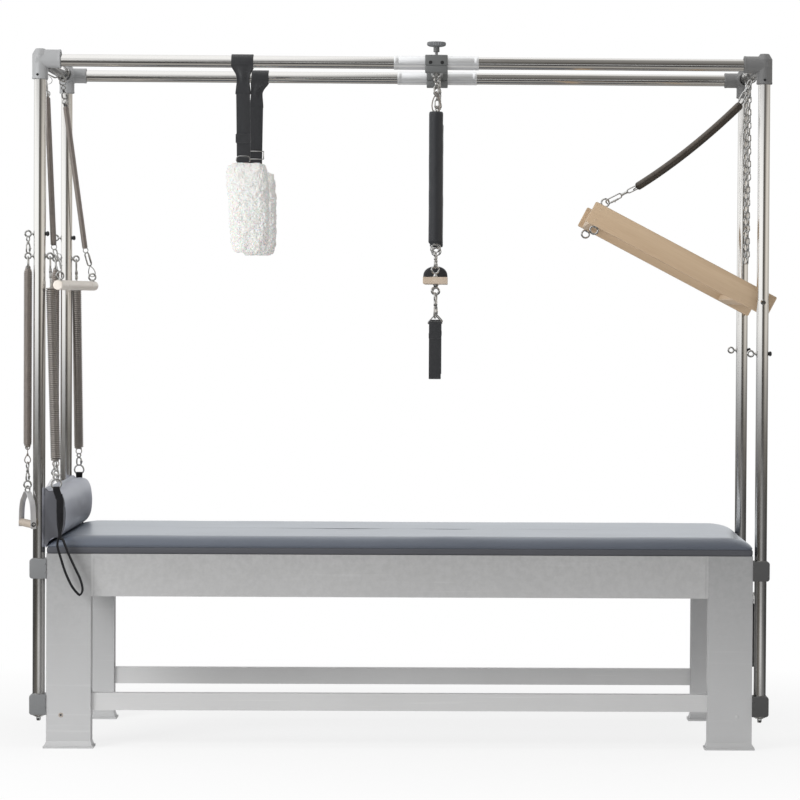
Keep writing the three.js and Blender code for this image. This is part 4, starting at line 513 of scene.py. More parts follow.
def vinyl(name, colour, roughness=0.5, coat=0.35):
    """Upholstery vinyl: pebble grain, slow wrinkling and a soft sheen."""
    made = Finish(name, colour, roughness, Coat_Weight=coat, Coat_Roughness=0.3, Coat_Tint=(0.84, 0.92, 1.0, 1.0))
    grain = made.cells(900)
    folds = made.noise(14, 3, (0.5, 1.4, 1.0))
    made.tint(folds, 0.93, 1.06).tint(grain, 0.96, 1.04).rough(folds, roughness * 0.85, roughness * 1.15)
    made.bump(folds, 0.3, 4.0).bump(grain, 0.35, 0.25)
    return made.material


def webbing(name, colour, sheen):
    """Woven strap: ribs across the weave, a fine twill between them and patches of paler and darker dust."""
    made = Finish(name, colour, 0.85, Sheen_Weight=sheen)
    weave = made.calculate("MULTIPLY", made.wave(900, "X"), made.wave(520, "Y", 0.6))
    dust = made.noise(120, 4)
    made.tint(weave, 0.7, 1.35).tint(dust, 0.8, 1.25).bump(weave, 0.7, 0.5)
    return made.material


def fleece(name, colour):
    """Curly white pile: clumps, curls and short fibres."""
    made = Finish(name, colour, 1.0, Sheen_Weight=0.4, Subsurface_Weight=0.15)
    clumps = made.noise(85, 3)
    curls = made.cells(260)
    fibres = made.noise(1500, 3, (1, 1, 0.35))
    made.tint(clumps, 0.84, 1.08).tint(curls, 0.9, 1.04)
    made.bump(clumps, 0.6, 6.0).bump(curls, 0.6, 2.5).bump(fibres, 0.6, 0.8)
    return made.material


def wood(name, colour, dark, along, roughness=0.5, lean=0.0):
    """Planed wood with its grain along one axis of the piece: growth bands, fine pores and flecks."""
    made = Finish(name, colour, roughness, Coat_Weight=0.15, Coat_Roughness=0.3)
    if lean:
        settings = [("rotation_type", "Y_AXIS")]
        made.object_place = made.add("VectorRotate", 0, settings, Vector=made.object_place, Angle=-lean)
    bands = made.noise(1.0, 5, tuple(1.2 if axis == along else 26 for axis in range(3)), 0.6)
    fine = made.noise(1.0, 3, tuple(14 if axis == along else 420 for axis in range(3)))
    made.blend(made.spread(bands, 0.35, 0.7, 0, 0.6), dark).blend(made.spread(fine, 0.45, 0.75, 0, 0.35), dark)
    made.rough(fine, roughness * 0.85, roughness * 1.2).bump(fine, 0.25, 0.15)
    return made.material


bench_aluminium = mill_aluminium("bench_aluminium", (0.505, 0.507, 0.51), (40, 40, 900))
rail_aluminium = mill_aluminium("rail_aluminium", (0.6, 0.6, 0.6), (30, 700, 700))
# The right castings take a darker copy of the cast grey: painted shade, for their place further from the key light on
# the left.
cast_grey = satin_metal("cast_grey", (0.36, 0.365, 0.37), 0.4, 0.3, (700, 700, 700), 0.08, 0.4)
cast_painted_shade = satin_metal("cast_grey_painted_shade", (0.2, 0.2, 0.2), 0.45, 0.4, (700, 700, 700), 0.1, 0.4)
# The right clamps take a darker copy of the clamp grey: painted shade, for their place further from the key light on
# the left.
clamp_grey = satin_metal("clamp_grey", (0.24, 0.245, 0.25), 0.4, 0.3, (700, 700, 700), 0.08, 0.4)
clamp_painted_shade = satin_metal("clamp_grey_painted_shade", (0.11, 0.11, 0.11), 0.45, 0.4, (700, 700, 700), 0.1, 0.4)
block_grey = satin_metal("block_grey", (0.17, 0.175, 0.175), 0.4, 0.4, (500, 500, 500), 0.1, 0.4)
sleeve_metal = satin_metal("sleeve_aluminium", (0.82, 0.83, 0.84), 0.3, 0.72, (8, 260, 260), 0.03, 0.012)
bright_steel = satin_metal("bright_steel", (0.68, 0.68, 0.67), 0.1, 1.0, (400, 400, 400), 0.04, 0.03)
strip_aluminium = satin_metal("strip_aluminium", (0.6, 0.6, 0.61), 0.35, 0.7, (60, 60, 900), 0.05)
# Near-black: painted shade inside the holes of the castings and carriage blocks, and the own colour of the stirrup's
# black washers.
hole_shade_and_washer_black = satin_metal("recess_shade_and_washer_black", (0.02, 0.02, 0.02), 0.5, 0.3, (800, 800, 800))
cap_plastic = satin_metal("cap_plastic", (0.025, 0.025, 0.027), 0.4, 0.0, (600, 600, 600), 0.1, 0.2)
tube_steel = steel_tube("tube_steel", (900, 900, 6))
tube_steel_x = steel_tube("tube_steel_x", (6, 900, 900))
tube_steel_y = steel_tube("tube_steel_y", (900, 6, 900))
knob_plastic = moulded_plastic("knob_plastic", (0.14, 0.145, 0.15))
spring_dark = spring_steel("spring_steel", (0.42, 0.375, 0.345), 0.33)
spring_leg = spring_steel("spring_leg_steel", (0.42, 0.39, 0.365), 0.33)
spring_black = spring_steel("spring_push_steel", (0.13, 0.115, 0.1), 0.28)
mat_vinyl = vinyl("mat_vinyl", (0.108, 0.113, 0.131), 0.36, 0.93)
mat_band = vinyl("mat_band", (0.078, 0.078, 0.086))
# Bolster cover: one vinyl in two copies, a lighter one for painted light on its face and a darker one for painted shade
# on its end panels.
bolster_vinyl = vinyl("bolster_vinyl", (0.342, 0.344, 0.39), 0.42)
bolster_end_shade = vinyl("bolster_end_painted_shade", (0.088, 0.087, 0.096))
pad_black = vinyl("pad_black", (0.022, 0.022, 0.024))
webbing_black = webbing("webbing_black", (0.028, 0.029, 0.032), 0.35)
webbing_foot = webbing("webbing_foot", (0.009, 0.009, 0.011), 0.05)
fleece_white = fleece("fleece_white", (0.775, 0.775, 0.75))
beech_arm = wood("wood_beech_arm", (0.56, 0.42, 0.28), (0.42, 0.29, 0.18), 0, lean=PUSH_TURN)
beech_y = wood("wood_beech_cross", (0.58, 0.44, 0.3), (0.44, 0.31, 0.2), 1)
board_wood = wood("wood_board", (0.54, 0.45, 0.36), (0.38, 0.29, 0.21), 1)
bar_wood = wood("wood_pale", (0.74, 0.69, 0.63), (0.6, 0.53, 0.46), 1, 0.45)
grip_wood = wood("wood_grip", (0.42, 0.36, 0.3), (0.3, 0.25, 0.2), 1)


# Bench: the frame's own nodes, with softened edges and their own metal

EDGE_ANGLE = math.radians(35)


def dress(node, material, width):
    """A frame node kept as it is: its finish, and a narrow round on its edges."""
    obj = frame["nodes"][node]
    obj.data.materials.clear()
    obj.data.materials.append(material)
    edge = obj.modifiers.new("edge", "BEVEL")
    edge.width = width * MM
    edge.segments = 2
    edge.limit_method = "ANGLE"
    edge.angle_limit = EDGE_ANGLE
    obj.data.shade_smooth()
    obj.data.set_sharp_from_angle(angle=EDGE_ANGLE)


def build_leg_details():
    """Rim of the near left leg's hole, a flush plug in the right one, and the weld lines between legs and rails."""
    hole = np.array([-(BENCH_END - 46), -BENCH_SIDE, 103])
    rim = revolve(hole + (0, 0.4, 0), hole - (0, 0.7, 0), [(0, 6.6), (0.7, 7.2), (1, 6.4), (1, 4.4), (0, 4.2)], 32)
    piece("leg_hole_rim", [(grip_wood, [rim])], "frame")
    hole = hole * (-1, 1, 1)
    plug = stud(hole, -Y_AXIS, 1, 0.35, [(0, 6.4), (0.8, 6.4), (1, 5.8)], 32)
    piece("leg_hole_plug", [(bench_aluminium, [plug])], "frame")
    rail_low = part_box("side_rail_near")[0][2] / MM
    leg_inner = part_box("leg_near_right")[0][0] / MM
    bead = [(0, 0.3), (0.02, 0.7), (0.98, 0.7), (1, 0.3)]
    lines = []
    for _, sy in SIDES:
        for _, sx in ENDS:
            at = upright(sx * leg_inner, sy * BENCH_SIDE)
            lines.append(turned(at(rail_low + 2), at(BENCH_TOP - 3), bead, 12))
    piece("leg_welds", [(bench_aluminium, lines)], "frame")


# Posts, clamps, castings and overhead tubes

CLAMP_REACH = 26.3
CLAMP_INNER = 1098.3
CLAMP_OUTER = 1150.3
CLAMP_CORNER = 9.0
CLAMP_EDGE = 2.2
TUBE_EDGE = 1.5
TOP_TUBE_HALF = 1101
END_TUBE_HALF = 297
HEAD_CLAMP = (527, 589)
FOOT_CLAMP = (103, 167)
PIVOT_Z = PUSH_PIVOT[2]
SOCKET_RADIUS = 25.0
SOCKET_BORE = 19.2
# Eyebolts of a left and of a right post: height, 1 for outwards or -1 for inwards, reach, and whether a cap nut shows
EYEBOLTS = {-1: ((1597, 1, 36, True), (1528, 1, 36, False), (1528, -1, 32, False)), 1: ((1237, -1, 36, True),)}


def clamp(sx, sy, low, high):
    """Cast block with round outer corners as seen from the front, and two small screws at its inner edge."""
    angle = np.linspace(-np.pi / 2, np.pi / 2, 19)
    layers = []
    for y, shrink in edge_rows(CLAMP_REACH, CLAMP_EDGE, np.array([0, 0.3, 0.7, 1.0]) * np.pi / 2):
        bend = CLAMP_CORNER - shrink
        x = np.concatenate([CLAMP_OUTER - CLAMP_CORNER + bend * np.cos(angle), [CLAMP_INNER, CLAMP_INNER]])
        z = np.where(angle < 0, low + CLAMP_CORNER, high - CLAMP_CORNER) + bend * np.sin(angle)
        z = np.concatenate([z, [high - shrink, low + shrink]])
        layers.append(np.stack([sx * x, np.full(len(x), sy * POST_Y + y), z], axis=1))
    shapes = [grid(np.stack(layers))]
    head = [(0, 3.4), (0.7, 3.2), (1, 2.2)]
    for z in (high - 16, high - 41):
        for way in (-1, 1):
            face = np.array([sx * (CLAMP_INNER + 3.6), sy * POST_Y + way * CLAMP_REACH, z])
            shapes.append(stud(face, way * Y_AXIS, 0.8, 1.6, head, 16))
    return shapes


def eyebolt(centre, way, reach, cap):
    """Threaded eye through a tube: a wire ring and its collar on one side, and a washer and cap nut on the other."""
    out = way * X_AXIS
    ring, near, far = centre + out * reach, centre + out * TUBE, centre - out * (TUBE - 1)
    collar = [(0, 7.5), (0.3, 7.8), (0.55, 7.4), (0.6, 5.5), (1, 4.6)]
    eye = [
        torus(ring, Y_AXIS, EYE_RADIUS, EYE_WIRE),
        revolve(centre, ring - out * (EYE_RADIUS - 1), [(0, 3.4), (0.1, 3.6), (1, 3.4)], 20),
        stud(near, out, 2, 3, collar, 28),
    ]
    nut = [(0, 5.6), (0.3, 5.6), (0.34, 7.6), (0.62, 7.8), (0.85, 6.4), (0.96, 3.8)]
    return eye, [turned(far, far - out * 12, nut, 28)] if cap else []


def build_posts():
    for side, sy in SIDES:
        for end, sx in ENDS:
            at = upright(sx * POST_X, sy * POST_Y)
            fittings = [
                turned(at(96), at(103.5), [(0, 12.5), (0.25, 13), (1, 12.6)], 32),
                turned(at(83), at(96.5), [(0, 5.5), (0.25, 7), (1, 7)], 6),
            ]
            nuts = []
            for height, way, reach, cap in EYEBOLTS[sx]:
                eye, nut = eyebolt(at(height), sx * way, reach, cap)
                fittings += eye
                nuts += nut
            if sx > 0:
                pin = [(0, 6), (0.06, 8.5), (0.12, 8.8), (0.16, 5), (1, 5)]
                fittings.append(stud(at(PIVOT_Z), -sy * Y_AXIS, 24, 42, pin, 28))
            # Right clamps get the darker copy of the grey: painted shade.
            cast = clamp_grey if sx < 0 else clamp_painted_shade
            finish(
                f"post_{side}_{end}", "tube_steel", (tube_steel, [rounded_rod(at(99), at(2111), TUBE, TUBE_EDGE)]),
                (cast, clamp(sx, sy, *FOOT_CLAMP)), (bright_steel, fittings), (cap_plastic, nuts),
            )
            finish(f"post_clamp_{side}_{end}", "cast_grey", (cast, clamp(sx, sy, *HEAD_CLAMP)))


def socket(start, end):
    """Socket of a casting: a round sleeve whose mouth has a raised lip and an open bore."""
    length, radius, bore = float(np.linalg.norm(np.subtract(end, start))), SOCKET_RADIUS, SOCKET_BORE
    rows = [(0, 0), (0, radius - 0.6), (length - 7, radius - 0.6), (length - 6, radius), (length - 1.2, radius)]
    rows += [(length - 0.3, radius - 0.4), (length, radius - 1.2), (length, bore), (length - 8, bore - 0.2)]
    rows += [(length - 8, 0)]
    return revolve(start, end, [(a / length, r) for a, r in rows], 48)


def raised(shape, base, lift):
    """Socket whose upper half stands higher, by lift, as a thicker boss."""
    points = shape["v"].copy()
    points[:, 2] += np.clip((points[:, 2] - base) / SOCKET_RADIUS, 0, 1) * lift
    return {**shape, "v": points}


def build_castings():
    """Three-way corner castings: sockets and a domed crown melted together by a voxel skin that rounds the corners."""
    crown = [(0, 24.4), (0.52, 24.4), (0.96, 15.0), (1, 13.4)]
    for side, sy in SIDES:
        for end, sx in ENDS:
            c = np.array([sx * POST_X, sy * POST_Y, TUBE_Z], float)
            lift = 0.0 if sy > 0 else 9.0 if sx < 0 else 4.0
            shapes = [
                socket(c + (0, 0, 4), c - (0, 0, 59)),
                raised(socket(c + (sx * 12, 0, 0), c - (sx * 65, 0, 0)), TUBE_Z, lift),
                socket(c, c - (0, sy * 65, 0)),
                turned(c, c + (0, 0, 36), crown, 48),
            ]
            # Right castings get the darker copy of the grey: painted shade.
            cast = cast_grey if sx < 0 else cast_painted_shade
            made = finish(f"corner_casting_{side}_{end}", "cast_grey", (cast, shapes), smooth=50)
            skin = made.modifiers.new("skin", "REMESH")
            skin.mode = "VOXEL"
            skin.voxel_size = 1.3 * MM
            skin.use_smooth_shade = True
            melt = made.modifiers.new("melt", "SMOOTH")
            melt.factor = 0.5
            melt.iterations = 7
            # The hole is a near-black disc at the face: painted shade for its inside.
            face = c + (-5 if sx < 0 else -1, sy * 25, -46)
            hole = stud(face, sy * Y_AXIS, 2, 0.25, [(0, 3.9), (1, 3.9)], 18)
            piece(f"casting_holes_{side}_{end}", [(hole_shade_and_washer_black, [hole])], "frame")


def level_tube(middle, half, edge=TUBE_EDGE):
    """Tube about its middle, from minus half to half."""
    return rounded_rod(middle - half, middle + half, TUBE, edge)


def build_overhead():
    for side, sy in SIDES:
        tube = level_tube((0, sy * POST_Y, TUBE_Z), TOP_TUBE_HALF * X_AXIS)
        finish(f"top_tube_{side}", "tube_steel", (tube_steel_x, [tube]))
    for end, sx in ENDS:
        tube = level_tube((sx * POST_X, 0, TUBE_Z), END_TUBE_HALF * Y_AXIS)
        finish(f"end_tube_{end}", "tube_steel", (tube_steel_y, [tube]))


# Sliding carriage

SLEEVE_HALF = 131.5
CROSS_HALF = 293
KNOB_SIDES = 192
KNOB_RIBS = 24
KNOB_RIB = 0.75
# Rows of the star knob from its underside to its top: height, radius, and how deep the ribs are
KNOB_ROWS = [
    (2185, 6, 0), (2185, 20, 0), (2186.5, 25.5, 0.2), (2188, 28.0, 0.8), (2190, 29.2, 1), (2196, 29.4, 1),
    (2198.2, 28.2, 0.7), (2199.4, 25.5, 0.2), (2199.8, 20, 0), (2199.3, 14, 0), (2198.6, 6, 0), (2198.6, 1, 0),
]


def knob(at):
    """Star knob of moulded plastic with a serrated rim, on a metal hub and screw."""
    ring = np.insert(circle(1.0, KNOB_SIDES), 2, 0, axis=1)
    ribs = KNOB_RIB * (1 - np.cos(KNOB_RIBS * np.arange(KNOB_SIDES)[:, None] * 2 * np.pi / KNOB_SIDES))
    disc = [at(z) + (radius - depth * ribs) * ring for z, radius, depth in KNOB_ROWS]
    hub = turned(at(2168), at(2186), [(0, 8.6), (0.06, 9.5), (0.5, 9.4), (0.9, 9.5), (1, 10.5)], 40)
    thread = [(turn / 14, 4.6 + 0.4 * (turn % 2)) for turn in range(15)]
    return grid(np.stack(disc)), hub, turned(at(2156), at(2169), thread, 28)


def carriage_block(y, sy):
    """Split cast block: rounded edges, a saw cut in its outer face and two pinch screws across the cut."""
    x, half, depth = CARRIAGE_X, 35, 27
    block = [
        soft_box((x - half, y - depth, 2104), (x + half, y + depth, 2123.8), 4, 2.5),
        soft_box((x - half, y - depth, 2125.4), (x + half, y + depth, 2158), 4, 2.5),
        soft_box((x - half + 2.5, y - depth + 2.5, 2112), (x + half - 2.5, y + depth - 2.5, 2150), 3, 1),
    ]
    dark = []
    for across in (-18, 18):
        face = np.array([x + across, y + sy * depth, TUBE_Z])
        # Each recess is a near-black disc at the face: painted shade for its inside.
        dark.append(stud(face, sy * Y_AXIS, 1, 0.12, [(0, 5.8), (1, 5.8)], 24))
        lip = [(0, 5.6), (0.9, 7.4), (1, 7), (1, 5.8), (0, 5.6)]
        block.append(revolve(face - (0, sy, 0), face + (0, sy * 0.6, 0), lip, 28))
    head = stud(vec((x + half, y - 9, 2142)), X_AXIS, 1, 4.5, [(0, 6), (0.8, 5.6), (1, 4.6)], 20)
    return block, dark, head


def build_carriage():
    lip = [(0, 19.6), (0, 21.0), (0.004, 21.3), (0.04, 21.3), (0.045, 20.9), (0.06, 20.9), (0.065, 21.2)]
    for side, sy in SIDES:
        y = sy * POST_Y
        at = upright(CARRIAGE_X, y)
        half = SLEEVE_HALF * X_AXIS
        sleeve = revolve(at(TUBE_Z) - half, at(TUBE_Z) + half, mirrored(lip, 0.5), 64)
        finish(f"slider_sleeve_{side}", "sleeve_aluminium", (sleeve_metal, [sleeve]))
        block, dark, head = carriage_block(y, sy)
        eye = torus(at(2093), Y_AXIS, EYE_RADIUS, EYE_WIRE)
        stem = turned(at(2106), at(2101), [(0, 6), (0.7, 5.6), (1, 3.6)], 24)
        bright = (bright_steel, [head, eye, stem])
        finish(f"slider_block_{side}", "cast_grey", (block_grey, block), (hole_shade_and_washer_black, dark), bright)
        disc, hub, screw = knob(at)
        groups = (knob_plastic, [disc]), (block_grey, [hub]), (strip_aluminium, [screw])
        finish(f"clamp_knob_{side}", "knob_plastic", *groups)
    tube = level_tube((CARRIAGE_X, 0, TUBE_Z), CROSS_HALF * Y_AXIS, 1)
    finish("slider_cross_tube", "tube_steel", (tube_steel_y, [tube]))


# Springs, hooks and rings

def wound(centres, radius, wire, turns, neck, neck_share, steps=14, sides=6):
    """Close-wound spring along a centre line: a helix whose radius draws in over its last turns at both ends."""
    count = int(turns * steps) + 1
    turn = np.linspace(0, turns, count)
    length = lengths(centres)
    place = turn / turns * length[-1]
    middle = np.stack([np.interp(place, length, centres[:, k]) for k in range(3)], axis=1)
    tangent = unit(np.gradient(middle, axis=0))
    side = unit(np.cross(tangent, Y_AXIS))
    near_end = np.clip(np.minimum(turn, turns - turn) / neck, 0, 1)
    reach = (radius - wire) * (neck_share + (1 - neck_share) * np.sin(near_end * np.pi / 2))
    angle = 2 * np.pi * turn[:, None]
    path = middle + reach[:, None] * (np.cos(angle) * side + np.sin(angle) * np.cross(side, tangent))
    return sweep(path, circle(wire, sides), tangent)


def core(centres, radius, neck, sides=24):
    """Dark inside of a close-wound spring, so that nothing shows between its turns."""
    length = lengths(centres)
    inset = np.minimum(length, length[-1] - length)
    reach = radius * (0.4 + 0.6 * np.sin(np.clip(inset / neck, 0, 1) * np.pi / 2))
    return sweep(centres, circle(1.0, sides), Y_AXIS, reach=reach)


def line(start, end, count=60):
    """Even points from start to end."""
    share = np.linspace(0, 1, count)[:, None]
    return vec(start) * (1 - share) + vec(end) * share


def spring_loop(at, towards, across, radius, wire=1.7):
    """Hook of the spring's own wire: a loop beyond its end, in the plane of the spring and across."""
    away = unit(np.subtract(at, towards))
    return torus(vec(at) + away * radius * 0.55, np.cross(away, across), radius, wire, 28, 8)


def snap(top, bottom, across, body=0.56):
    """Swivel bolt snap: an eye, a barrel with a groove, and a hook closed by a gate with a thumb piece."""
    top, bottom, along, flat, length = span(top, bottom, across)
    eye_end, hook_top = top + along * length * 0.36, top + along * length * (1 - body)
    gate_start, gate_end = (hook_top + along * (length * body * share) + flat * 7.2 for share in (0.28, 0.74))
    middle = (gate_start + gate_end) / 2
    barrel = [(0, 4.0), (0.08, 4.8), (0.4, 4.8), (0.46, 3.8), (0.56, 3.8), (0.62, 4.9), (0.92, 4.6), (1, 3.6)]
    return [
        oval(top, eye_end, 17, 2.3, flat),
        turned(eye_end - along * 2.5, hook_top + along * 2.5, barrel, 20),
        oval(hook_top, bottom, 19.6, 2.5, flat),
        turned(gate_start, gate_end, [(0, 2.8), (0.08, 3.3), (0.92, 3.3), (1, 2.7)], 16),
        turned(middle + flat * 1.5, middle + flat * 5.4, [(0, 1.6), (0.75, 1.6), (0.8, 2.4), (1, 2.2)], 14),
    ]


def carabiner(top, bottom, across, width):
    """Spring-gate hook: a long wire link, thicker at its nose, with a gate along one side."""
    top, bottom, along, flat, length = span(top, bottom, across)
    start, end = (top + along * length * share + flat * (width / 2 - WIRE) for share in (0.26, 0.74))
    return [
        oval(top, bottom, width, WIRE, flat),
        turned(start, end, [(0, 3.0), (0.06, 3.4), (0.94, 3.2), (1, 2.8)], 16),
        turned(end - along, end + along * 3.4, [(0, 3.5), (0.8, 3.5), (1, 3.0)], 16),
    ]


def teardrop(eye, low, width, wire, across):
    """Wire hanger: two crossed ends at the eye, opening into a round loop below."""
    eye, low, along, flat, length = span(eye, low, across)
    half = [(0.35, -0.06), (0.0, 0.0), (-0.7, 0.3), (-1, 0.62), (-0.72, 0.9), (0, 1)]
    outline = half + [(0.72, 0.9), (1, 0.62), (0.7, 0.3), (0.0, 0.02), (-0.35, -0.06)]
    points = [eye + along * down * length + flat * out * width / 2 for out, down in outline]
    return sweep(smooth_path(points, 60), circle(wire, 8), np.cross(along, flat))


def split_ring(centre, axis):
    """Key ring: two turns of thin wire side by side."""
    wire, axis = 0.9, unit(axis)
    return [torus(centre + axis * way * wire, axis, 12, wire, 36, 8) for way in (-1, 1)]


def link_ring(centre, radius=RING_RADIUS):
    """Ring of an eye, in the plane along the table."""
    return torus(centre, Y_AXIS, radius, EYE_WIRE)


def ribbon(path, width, thickness, across, closed=False):
    """Strap carried along a path, with softly rounded edges; across is the direction of its width."""
    return sweep(path, rounded_rectangle(thickness, width, thickness * 0.46, 3), across, closed)


def stitched(centre, half, corner=1.6, edge=1.4):
    """Keeper or sewn end of a strap: a soft block about its middle."""
    centre, half = vec(centre), vec(half)
    return soft_box(centre - half, centre + half, corner, edge)


def arc(centre, radius, start, end, count):
    """Points of an arc in two coordinates, as a list."""
    angle = np.linspace(math.radians(start), math.radians(end), count)
    return [(centre[0] + radius * c, centre[1] + radius * s) for c, s in zip(np.cos(angle), np.sin(angle))]


def in_xz(points, y):
    return np.insert(vec(points), 1, y, axis=1)


def in_yz(points, x):
    return np.insert(vec(points), 0, x, axis=1)


BAND_INNER, BAND_OUTER, BAND_HALF = 20.0, 23.0, 8.0
EYE_COLLAR = [(0, 9), (0.2, 9.3), (0.3, 7), (0.6, 5.5), (1, 4.2)]


def hook_band(x, y):
    """Steel band round an end tube, with rounded edges."""
    profile = [(0, BAND_OUTER - 0.8), (0.06, BAND_OUTER), (0.94, BAND_OUTER), (1, BAND_OUTER - 0.8)]
    profile = [(0, BAND_INNER), *profile, (1, BAND_INNER), (0, BAND_INNER)]
    return {**revolve((x, y - BAND_HALF, TUBE_Z), (x, y + BAND_HALF, TUBE_Z), profile, 56), "caps": []}


# Roll-down springs and bar

ROLL_BAR = {-1: np.array([-1060.0, -330, 1438]), 1: np.array([-1040.0, 330, 1438])}
ROLL_BAR_HALF = 370.0
ROLL_BAR_RADIUS = 15.5
ROLL_BAR_GROOVE = 242


def build_roll_down_springs():
    for side, sy in SIDES:
        hang = np.array([-POST_X, sy * 200, TUBE_Z - BAND_OUTER + 1.5])
        top = np.array([9 - POST_X, sy * 222, 2025.0])
        held = ROLL_BAR[sy] + (0, 0, 40.5)
        bottom = np.array([held[0] - 22, sy * 314, 1562.0])
        axis, pull = unit(top - hang), unit(held - bottom)
        centres = line(top, bottom, 40)
        turns = np.linalg.norm(bottom - top) / 3.0
        bright = [hook_band(-POST_X, sy * 200)]
        if sy < 0:
            bright += snap(hang + (0, 0, 1), hang + axis * 74, Y_AXIS)
            bright.append(torus(hang + axis * 78, Y_AXIS, 9, 1.5))
            bright += snap(bottom + pull * 12, held + pull, (1, 0.7, 0))
            bright += split_ring(bottom + pull * 40 + (6, -4, 0), (0.3, 1, 0.2))
        else:
            bright.append(torus(hang + axis * 8, Y_AXIS, 10, 2.0))
            bright += snap(hang + axis * 17, hang + axis * 66, (1, 0.2, 0))
            bright.append(torus(hang + axis * 74, Y_AXIS, 9, 1.6))
            bright += snap((-1108, 172, 2106), (-1176, 150, 2140), (0.45, 0, 1), 0.62)
            bright += split_ring((-1162, 150, 2106), (0.2, 1, 0))
            bright += carabiner(bottom + pull * 12, bottom + pull * 62, (1, 0.4, 0), 18)
            bright.append(teardrop(bottom + pull * 60, held + pull * 10, 21, 1.6, (1, 0.2, 0)))
        bright.append(turned(top - axis * 17, top - axis, [(0, 5.5), (0.15, 6.6), (0.85, 6.6), (1, 5.5)], 24))
        bright.append(torus(bottom + pull * 6, Y_AXIS, 8, 1.5, 32, 8))
        coils = [wound(centres, 9.5, 1.35, turns, 1.2, 0.7), core(centres, 8.0, 3, 20)]
        finish(f"roll_down_spring_{side}", "spring_steel", (spring_dark, coils), (bright_steel, bright))


def build_roll_down_bar():
    """Turned bar with rounded ends, a groove beside each eye, and the two eyes on their collars."""
    middle = (ROLL_BAR[-1] + ROLL_BAR[1]) / 2
    along = unit(ROLL_BAR[1] - ROLL_BAR[-1]) * ROLL_BAR_HALF
    end, radius = 5, ROLL_BAR_RADIUS
    bends = [(end * math.cos(a), end * math.sin(a)) for a in np.linspace(0.3, math.pi / 2, 6)]
    turns = [(0, 0), (0, radius - end)] + [((end - c) / ROLL_BAR_HALF / 2, radius - end + s) for c, s in bends]
    grooves = [
        (0.5 + (at + way) / ROLL_BAR_HALF / 2, radius - depth)
        for at in (-ROLL_BAR_GROOVE, ROLL_BAR_GROOVE)
        for way, depth in ((-4, 0), (-2.6, 1.4), (2.6, 1.4), (4, 0))
    ]
    bar = revolve(middle - along, middle + along, mirrored(turns, 0.5, grooves), 48)
    bright = []
    for eye in ROLL_BAR.values():
        bright.append(link_ring(eye + (0, 0, 29.5)))
        bright.append(stud(eye, Z_AXIS, -14.8, 20, [(0, 8), (0.25, 8.2), (0.4, 5.2), (1, 4.0)], 24))
    finish("roll_down_bar", "wood_pale", (bar_wood, [bar]), (bright_steel, bright))


# Arm springs and stirrup handles

ARM_X = -1160.0
STIRRUP_Z = 697
STIRRUP_TURN = math.radians(26)


def build_arm_springs():
    """Spring on each left post, with a stirrup handle below it, and a spare snap in the near post's upper eye."""
    spare = snap((ARM_X, -POST_Y, 1592), (ARM_X, -POST_Y, 1534), (0.7, 1, 0), 0.6)
    piece("spare_snap_near", [(bright_steel, spare)], "frame")
    for side, sy in SIDES:
        at = upright(ARM_X, sy * POST_Y)
        centres = line(at(1490), at(934))
        dark = [
            wound(centres, 13.5, 2.5, 556 / 6.2, 2.6, 0.5, 18, 8),
            core(centres, 11.0, 12),
            spring_loop(at(1487), at(1400), X_AXIS, 6.5),
            spring_loop(at(937), at(1000), X_AXIS, 6.5),
            turned(at(940), at(906), [(0, 1.5), (1, 1.5)], 12),
            teardrop(at(911), at(884), 18, 1.7, (1, 0.2, 0)),
        ]
        bright = carabiner(at(1528), at(1481), Y_AXIS, 19) + snap(at(890), at(826), (0.5, 1, 0), 0.5)
        bright.append(link_ring(at(818)))
        finish(f"arm_spring_{side}", "spring_steel", (spring_dark, dark), (bright_steel, bright))
        build_stirrup(side, sy)


def build_stirrup(side, sy):
    """Bent flat strip with a turned grip between its feet, dished washers and screws at its ends."""
    half = [(-60.2, 684), (-58.8, 712), (-55, 742), (-45, 765), (-31, 777.5), (-12, 793.5)]
    path = smooth_path(in_xz(mirrored(half, between=[(0, 794.6)]), 0), 72)
    strip = sweep(path, rounded_rectangle(3.0, 18.0, 1.2, 3), Y_AXIS)
    middle = np.array([0, 0, STIRRUP_Z])
    grip = [(0, 9.8), (0.02, 11.2), (0.05, 11.9), (0.5, 12.2), (0.95, 11.9), (0.98, 11.2), (1, 9.8)]
    dark, bright = [], []
    for out in (-X_AXIS, X_AXIS):
        dark.append(stud(middle, out, -60.6, 62.4, [(0, 7.4), (0.5, 7.2), (1, 6.2)], 28))
        bright.append(stud(middle, out, -62.2, 65, [(0, 4.6), (0.6, 4.2), (1, 2.6)], 20))
    bright.append(oval((0, 0, 815.4), (0, 0, 791), 19, WIRE, Y_AXIS))
    grip = stud(middle, X_AXIS, 57.3, 57.3, grip, 40)
    groups = (strip_aluminium, [strip]), (grip_wood, [grip]), (hole_shade_and_washer_black, dark), (bright_steel, bright)
    groups = moved(groups, "Z", math.pi / 2 - sy * STIRRUP_TURN, (ARM_X, sy * POST_Y, 0))
    finish(f"stirrup_handle_{side}", "bench_aluminium", *groups)


# Leg springs and foot loops

LEG_X = -1092.0
LEG_TOP, LEG_LOW = 1529.2, 806
LEG_OUT = 62


